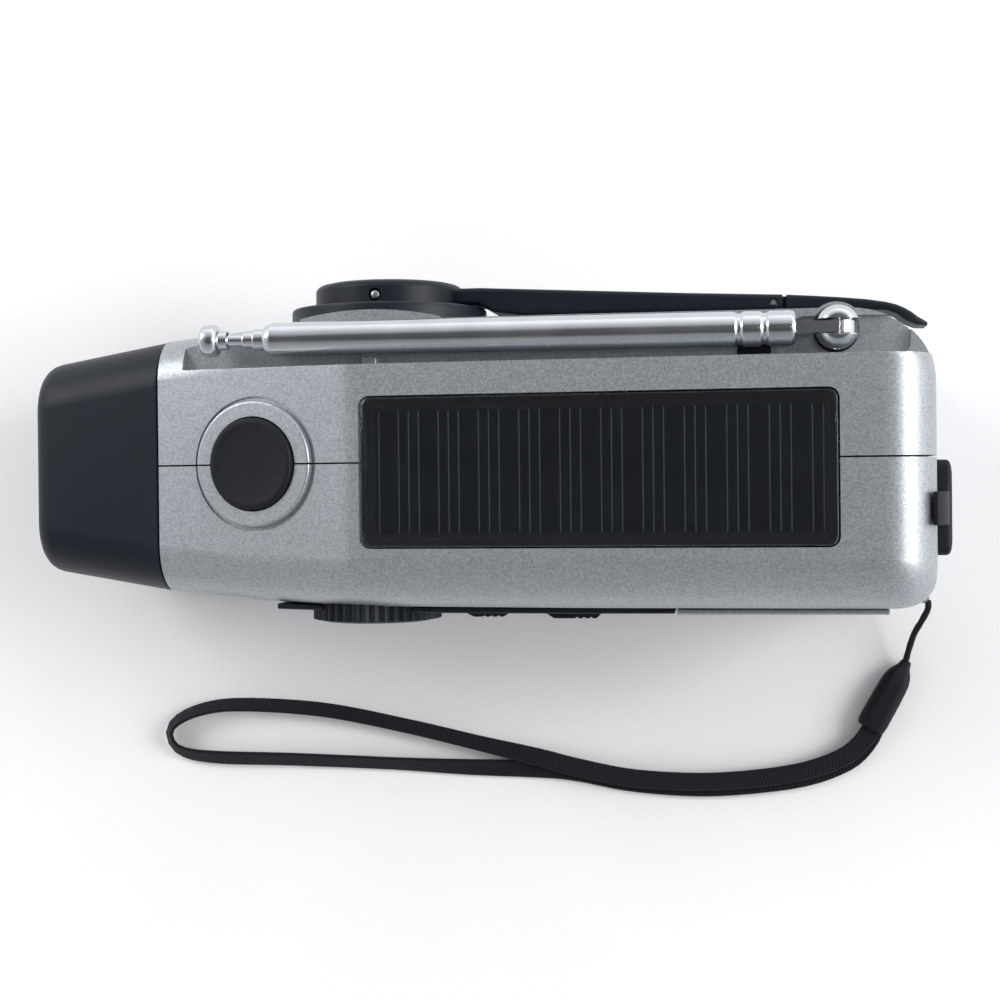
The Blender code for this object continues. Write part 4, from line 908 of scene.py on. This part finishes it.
rod = solid(lathe([(-47.9, 1.2), (-47.85, 1.7), (-47.6, 2.35), (-47.3, 2.68), (-46.9, 2.88),
                   (-46.0, 2.9), (-45.2, 2.88), (-44.8, 2.7), (-44.5, 2.3), (-44.3, 1.75),
                   (-42.8, 1.7), (-42.6, 1.08), (40.0, 1.08)], "X", line, 64), "aerial_rod")
piece(rod, chrome, "antenna_rod", ["antenna_rod"])
rest_pad = solid(block(47.4, 53.2, 15.6, 21.6, 47.7, 48.05, 0.1), "aerial_pad")
piece(rest_pad, rubber, "housing", ["antenna_rest"])
print("aerial length folded:", round(57.4 + 47.9, 1), "mm")

# %% [markdown]
# ## Crank
# The crank is a drum on the back with a long flat arm. The arm steps outward past the drum's
# black ring, thins towards its end, and carries a folding grip whose tip hooks round the corner
# of the housing. A bright cross pin locks the drum to its shaft.

# %% Crank
FOLD = (54.0, 26.05, HUB_Z)
hub_line = (HUB_X, 0.0, HUB_Z)
ring = solid(lathe(((23.3, 14.9), (23.3, 18.4), (25.9, 18.4), (26.35, 18.28), (26.55, 18.0),
                    (26.6, 17.6), (26.6, 14.9)), "Y", hub_line, 96, closed=True), "crank_ring")
piece(ring, black_abs, "housing", ["crank_bezel"])


def arm_ring(x):
    """Section of the crank arm at x."""
    reach = x - HUB_X
    inner_y = 26.9 if reach < 20.4 else 25.5 if reach < 26.0 else 24.75
    outer_y = 28.1 - 0.6 * (x - 39.0) / 15.0 if x > 39.0 else 30.0 - 1.9 * max(0.0, x) / 39.0
    half = 5.2 - 0.5 * max(0.0, x) / 80.0
    return [(x, b, a) for b, a in rounded(inner_y, outer_y, HUB_Z - half, HUB_Z + half, 0.8, 6)]


handle = solid(lathe([(21.8, 4.5), (21.8, 13.9), (29.8, 13.9), (30.3, 13.8), (30.7, 13.5),
                      (31.0, 13.0), (31.25, 12.0), (31.4, 10.3), (31.5, 3.0)], "Y", hub_line, 96),
               "crank_arm")
cut(handle, [skin([arm_ring(x) for x in (HUB_X, 0.0, 2.4, 8.0, 20.0, 38.0, 55.6)])], "UNION")
cross_hole = ((-20.0, 1.15), (20.0, 1.15))
cut(handle, [block(51.6, 80.0, 15.0, 40.0, HUB_Z - 2.6, HUB_Z + 2.6),
             lathe(((-20.0, 0.75), (20.0, 0.75)), "Z", FOLD, 24),
             lathe(cross_hole, "Z", (HUB_X, 28.3, HUB_Z), 32),
             lathe(((10.0, 2.3), (30.4, 2.3)), "Y", hub_line, 32)])
piece(handle, black_abs, "crank", ["crank_handle"], edge=0.15)
cross_pin = solid(lathe([(-13.7, 0.5), (-13.55, 0.78), (-13.3, 0.85), (13.3, 0.85), (13.55, 0.78),
                         (13.7, 0.5)], "Z", (HUB_X, 28.3, HUB_Z), 32), "crank_lock_pin")
piece(cross_pin, steel, "crank", ["crank_cross_pin"])
rings = []
for x, inner_y, outer_y, half in ((56.3, 24.75, 27.4, 4.7), (61.0, 24.68, 27.1, 4.7),
                                  (66.0, 24.6, 26.7, 4.7), (70.5, 24.42, 26.25, 4.66),
                                  (74.0, 24.2, 25.7, 4.6), (76.0, 23.5, 25.15, 4.55),
                                  (77.4, 22.4, 24.5, 4.5), (78.6, 21.8, 23.8, 4.36),
                                  (79.6, 21.4, 23.0, 4.2), (80.6, 21.33, 22.4, 3.9),
                                  (81.4, 21.3, 21.9, 3.6)):
    outline = rounded(inner_y, outer_y, HUB_Z - half, HUB_Z + half,
                      min(0.7, 0.45 * (outer_y - inner_y)), 6)
    rings.append([(x, b, a) for b, a in outline])
grip = solid(skin(rings), "crank_grip_paddle")
lobe = [(57.0, 24.85), (57.0, 27.25)]
lobe += [(54.0 + 1.25 * math.cos(math.radians(a)), 26.05 + 1.25 * math.sin(math.radians(a)))
         for a in range(90, 271, 15)]
cut(grip, [prism(lobe, "Z", HUB_Z - 2.3, HUB_Z + 2.3)], "UNION")
cut(grip, [lathe(((-20.0, 0.75), (20.0, 0.75)), "Z", FOLD, 24)])
piece(grip, black_abs, "crank_grip", ["crank_grip"], edge=0.12)
print("crank arm reaches", round(81.4 - HUB_X, 1), "mm from its shaft")

# %% [markdown]
# ## Front controls
# A thin black dial plate carries the tuning knob and two slide switches, and a silver grille
# covers the speaker. The scale round the knob is only marks and the switches have none, so there
# is nothing to read. Small straight ribs give the fingers hold on the knob's rim.

# %% Front plates
printed, tree, shader, place = begin("white_pad_print", "black_abs", "#c9cdd1", 0.55)
speckle = add_node(tree, "ShaderNodeTexNoise", {"Scale": per_metre(0.4)}, {"Vector": place})
faded = add_node(tree, "ShaderNodeMix", {"data_type": "RGBA", 6: linear("#b3b8bd"),
                                         7: linear("#d6d9dc")}, {0: speckle.outputs["Fac"]})
tree.links.new(faded.outputs[2], shader.inputs["Base Color"])


def front_plate(name, x0, x1, z0, z1):
    """A 1 mm plate that follows the front wall."""
    rings = []
    for x in sorted({x0, x1} | {x for x in (-15.0, 20.0) if x0 < x < x1}):
        back = MID_Y - half_depth(x) - MOULD_GAP
        rings.append([(x, b, a) for b, a in rounded(back - 1.0, back, z0, z1, 0.45, 5)])
    return solid(skin(rings), name)


dial = cut(front_plate("dial_plate_black", -36.0, 36.0, 12.0, 45.0), control_cutters())
piece(dial, black_abs, "housing", ["dial_plate"], edge=0.1)
grille = front_plate("speaker_grille_silver", 36.6, 73.0, 10.0, 48.0)
slots = []
for i in range(9):
    slot_z = SPEAKER[2] + 3.4 * (i - 4)
    half = math.sqrt(15.5 ** 2 - (slot_z - SPEAKER[2]) ** 2)
    outline = rounded(SPEAKER[0] - half, SPEAKER[0] + half, slot_z - 0.8, slot_z + 0.8, 0.75, 4)
    slots.append(prism(outline, "Y", -40.0, -20.0))
piece(cut(grille, slots), silver_paint, "housing", ["speaker_grille"], edge=0.12)
marks = bmesh.new()
for i in range(19):
    angle = math.radians(-135.0 + 15.0 * i)
    long = 1.9 if i % 3 == 0 else 1.1
    tick = block(-0.15, 0.15, -29.92, -29.84, 13.2, 13.2 + long)
    tick.transform(Matrix.Translation(KNOB) @ Matrix.Rotation(angle, 4, "Y"))
    for vert in tick.verts:
        vert.co.y = MID_Y - half_depth(vert.co.x) - 1.3 - (0.05 if vert.co.y < -29.9 else -0.02)
    if all(12.6 < vert.co.z < 44.4 for vert in tick.verts):
        spare = bpy.data.meshes.new("tick")
        tick.to_mesh(spare)
        marks.from_mesh(spare)
        bpy.data.meshes.remove(spare)
    tick.free()
ticks = solid(marks, "dial_marks")
piece(ticks, printed, "housing")
print("dial marks:", len(ticks.data.polygons) // 6)

# %% Knob and switches
ribs = []
for i in range(160):
    turn = 2.0 * math.pi * i / 160
    radius = 11.9 - 0.55 * (0.5 - 0.5 * math.cos(40.0 * turn)) ** 1.5
    ribs.append((KNOB[0] + radius * math.cos(turn), KNOB[2] + radius * math.sin(turn)))
knob = solid(prism(ribs, "Y", -31.1, -26.2), "tuning_knob_ribbed")
face = [(-31.5, 2.0), (-31.5, 9.6), (-31.4, 10.1), (-31.2, 10.6), (-31.0, 10.8)]
cut(knob, [lathe(face, "Y", KNOB, 96),
           lathe(((-27.0, 2.9), (-22.6, 2.9)), "Y", KNOB, 40)], "UNION")
cut(knob, [lathe(((-32.0, 7.6), (-31.25, 7.4)), "Y", KNOB, 96)])
piece(knob, black_abs, "tuning_knob", ["tuning_knob"], edge=0.1)
pointer = solid(block(-19.55, -19.05, -31.29, -31.2, 38.4, 43.0), "knob_pointer")
piece(pointer, printed, "tuning_knob")
for name, length, reach in (("power", 8.7, 31.0), ("band", 11.0, 31.3)):
    x = SWITCH_X[name]
    cap = [(x - length / 2, -30.05), (x + length / 2, -30.05), (x + length / 2 - 1.2, -reach)]
    for i in range(3):
        rib_x = x + length / 2 - 2.2 - 1.3 * i
        cap += [(rib_x + 0.3, -reach), (rib_x, -reach + 0.3), (rib_x - 0.3, -reach)]
    cap += [(x - length / 2 + 2.0, -reach)]
    slider = solid(prism(cap, "Z", 30.4, 35.6), name + "_switch_cap")
    cut(slider, [block(x - 3.2, x + 3.2, -30.4, -24.0, 31.7, 34.3)], "UNION")
    piece(slider, black_abs, name + "_slider", [name + "_slider"], edge=0.12)
print("knob and two switches made")

# %% [markdown]
# ## Jack cover, feet and screws
# A rubber cover closes the jack window, with a thumb tab that reaches over the top corner.

# %% Small parts
rings = []
for x, inset in ((81.1, 0.15), (81.25, 0.0), (83.0, 0.0), (83.35, 0.1), (83.65, 0.4), (83.85, 0.8),
                 (84.0, 1.4)):
    rings.append([(x, a, b) for a, b in rounded(-19.7 + inset, -3.1 - inset, 17.6 + inset,
                                                46.0 - inset, 1.6, 8)])
flap = solid(skin(rings), "jack_cover")
tab = ((81.15, 44.0), (83.0, 44.0), (83.02, 47.0), (82.9, 50.5), (82.5, 52.7), (81.9, 54.5),
       (81.1, 56.1), (80.3, 57.1), (79.6, 56.5), (80.4, 55.0), (80.95, 53.2), (81.15, 50.5))
cut(flap, [prism(tab, "Y", -14.2, -8.6), block(79.9, 81.6, -15.6, -6.8, 30.6, 38.6, 0.2)],
    "UNION")
piece(flap, rubber, "jack_flap", ["jack_flap"], edge=0.15)
for i, (x, y) in enumerate(((-50.0, -20.0), (-50.0, 14.0), (70.0, -20.0), (70.0, 12.0))):
    foot = solid(lathe([(0.0, 3.3), (0.05, 3.55), (0.2, 3.75), (0.4, 3.9), (1.7, 3.9)], "Z",
                       (x, y, 0.0), 48), "rubber_foot_%d" % (i + 1))
    piece(foot, rubber, "housing", ["foot_%d" % (i + 1)])
for i, (x, z) in enumerate(SCREWS):
    face = screw_face(x)
    screw = solid(lathe([(face - 9.0, 0.5), (face - 8.4, 0.9), (face - 0.8, 0.9), (face - 0.8, 2.0),
                         (face - 0.45, 1.98), (face - 0.2, 1.8), (face - 0.1, 1.4)], "Y",
                        (x, 0.0, z), 40), "screw_%d" % (i + 1))
    cut(screw, [block(x - 1.1, x + 1.1, face - 0.6, face + 1.0, z - 0.2, z + 0.2),
                block(x - 0.2, x + 0.2, face - 0.6, face + 1.0, z - 1.1, z + 1.1)])
    piece(screw, steel, "housing", ["case_screw_%d" % (i + 1)])
door = solid(block(25.3, 70.7, 1.5, 17.5, 2.3, 4.3, 0.3), "battery_door")
cut(door, [block(28.5, 31.0, 5.0 + 1.6 * i, 5.7 + 1.6 * i, 1.0, 2.55) for i in range(6)])
piece(door, black_abs, "housing", ["battery_cover"])
print("feet, screws and door made")

# %% [markdown]
# ## Inside
# The works stay as the engineering model has them: their shapes are right, and only a glimpse
# shows through the grille and the jack window. Each still gets the finish that it really has.

# %% Inside finishes
INSIDE = (
    ("solder_mask_green", "circuit_board", "#1f6b3d", "#2a7f4a", 0.40, 0.0, 1.2,
     ("led_board", "main_board")),
    ("moulded_acetal", "nylon", "#dad7cc", "#e8e5da", 0.45, 0.0, 4.0,
     ("crank_gear", "idler_gear", "tuning_capacitor")),
    ("enamelled_copper", "copper_winding", "#a3542c", "#c06f40", 0.32, 1.0, 0.3, ("dynamo_stator",)),
    ("sintered_ferrite", "ferrite", "#2b2c2f", "#3c3d40", 0.65, 0.0, 0.4,
     ("ferrite_rod", "speaker_magnet")),
    ("paper_pulp", "paper_cone", "#3a3833", "#57534b", 0.88, 0.0, 0.7, ("speaker_cone",)),
    ("shrink_sleeve_blue", "battery_wrap", "#1d3d78", "#27509a", 0.36, 0.0, 6.0, ("battery_pack",)),
    ("zinc_plate_inside", "steel", "#9b9da0", "#b3b4b6", 0.36, 1.0, 0.8,
     ("crank_shaft", "grip_pin", "idler_axle", "gear_plate", "speaker_frame", "usb_socket",
      "power_switch_body", "band_switch_body", "dynamo_rotor")),
    ("black_moulding_inside", "black_abs", "#121920", "#1a222b", 0.45, 0.0, 0.5,
     ("light_switch", "earphone_jack")),
    ("nickel_plated_eyelet", "steel", "#8f9498", "#a6aaad", 0.30, 1.0, 0.5, ("strap_eyelet",)))
for name, record_slot, dark, pale, roughness, metal, size, nodes in INSIDE:
    finish, tree, shader, place = begin(name, record_slot, dark, roughness, Metallic=metal)
    mottle = add_node(tree, "ShaderNodeTexNoise", {"Scale": per_metre(size), "Detail": 3.0},
                      {"Vector": place})
    tone = add_node(tree, "ShaderNodeMix", {"data_type": "RGBA", 6: linear(dark), 7: linear(pale)},
                    {0: mottle.outputs["Fac"]})
    tree.links.new(tone.outputs[2], shader.inputs["Base Color"])
    gloss = add_node(tree, "ShaderNodeMapRange",
                     {"To Min": roughness - 0.08, "To Max": roughness + 0.1},
                     {"Value": mottle.outputs["Fac"]})
    tree.links.new(gloss.outputs[0], shader.inputs["Roughness"])
    bump = add_node(tree, "ShaderNodeBump", {"Strength": 0.25, "Distance": 0.00003},
                    {"Height": mottle.outputs["Fac"]})
    tree.links.new(bump.outputs[0], shader.inputs["Normal"])
    for node in nodes:
        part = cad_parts[node]
        part.data.materials.clear()
        part.data.materials.append(finish)
print("finishes for the inside:", len(INSIDE))

# %% [markdown]
# ## Table and light
# A pale matte table and large soft lights suit silver paint: it needs something broad to reflect.
# The surroundings are brighter at the jack end and dimmer at the front and overhead, which shapes
# the rounded edges and keeps the blacks deep. One small ceiling lamp is there for glints on glossy
# parts; the flat window doesn't mirror it towards the camera.

# %% Table
table_top, tree, shader, place = begin("matte_white_laminate", "silver_abs", "#f6f6f6", 0.7)
fibre = add_node(tree, "ShaderNodeTexNoise", {"Scale": per_metre(40.0)}, {"Vector": place})
pale = add_node(tree, "ShaderNodeMix", {"data_type": "RGBA", 6: linear("#f3f3f3"),
                                        7: linear("#f9f9f9")}, {0: fibre.outputs["Fac"]})
tree.links.new(pale.outputs[2], shader.inputs["Base Color"])
table = solid(block(-2500.0, 2500.0, -2500.0, 2500.0, -20.0, 0.0), "table")
table.data.materials.append(table_top)
print("table is", round(table.dimensions.x, 1), "m wide")

# %% Light
world = bpy.data.worlds.new("room")
bpy.context.scene.world = world
world.use_nodes = True
room = world.node_tree
background = room.nodes["Background"]
direction = add_node(room, "ShaderNodeTexCoord").outputs["Generated"]
sides = add_node(room, "ShaderNodeSeparateXYZ", {}, {"Vector": direction})
to_right = add_node(room, "ShaderNodeMapRange", {"From Min": -1.0, "To Min": 0.75, "To Max": 1.35},
                    {"Value": sides.outputs["X"]})
to_back = add_node(room, "ShaderNodeMapRange", {"From Min": -0.9, "From Max": 0.3, "To Min": 0.45},
                   {"Value": sides.outputs["Y"]})
to_ceiling = add_node(room, "ShaderNodeMapRange", {"From Min": 0.25, "From Max": 0.9,
                                                   "To Min": 1.6, "To Max": 0.5},
                      {"Value": sides.outputs["Z"]})
overhead = add_node(room, "ShaderNodeMapRange", {"From Min": 0.86, "From Max": 0.95, "To Min": 1.0,
                                                 "To Max": 0.3}, {"Value": sides.outputs["Z"]})
wide = add_node(room, "ShaderNodeMath", {"operation": "MULTIPLY"},
                {0: to_right.outputs[0], 1: to_back.outputs[0]})
across = add_node(room, "ShaderNodeMath", {"operation": "MULTIPLY"},
                  {0: wide.outputs[0], 1: overhead.outputs[0]})
level_light = add_node(room, "ShaderNodeMath", {"operation": "MULTIPLY"},
                       {0: across.outputs[0], 1: to_ceiling.outputs[0]})
room.links.new(level_light.outputs[0], background.inputs["Strength"])
background.inputs["Color"].default_value = linear("#fbfcff")


def soft_light(name, at, toward, width, depth, watts):
    lamp_data = bpy.data.lights.new(name, "AREA")
    lamp_data.shape, lamp_data.size, lamp_data.size_y = "RECTANGLE", width, depth
    lamp_data.energy = watts
    lamp_obj = bpy.data.objects.new(name, lamp_data)
    lamp_obj.location = at
    lamp_obj.rotation_mode = "QUATERNION"
    lamp_obj.rotation_quaternion = (Vector(toward) - Vector(at)).to_track_quat("-Z", "Y")
    bpy.context.scene.collection.objects.link(lamp_obj)


soft_light("left_box", (-1.25, 0.75, 0.95), (0.0, 0.0, 0.03), 0.9, 0.7, 12.0)
soft_light("right_box", (1.2, 0.2, 0.75), (0.0, 0.0, 0.03), 0.7, 0.7, 12.0)
soft_light("ceiling_glint", (0.40, 0.13, 2.03), (0.06, 0.0, 0.05), 0.09, 0.11, 0.5)
bpy.context.scene.view_settings.view_transform = "Standard"
print("lights placed")
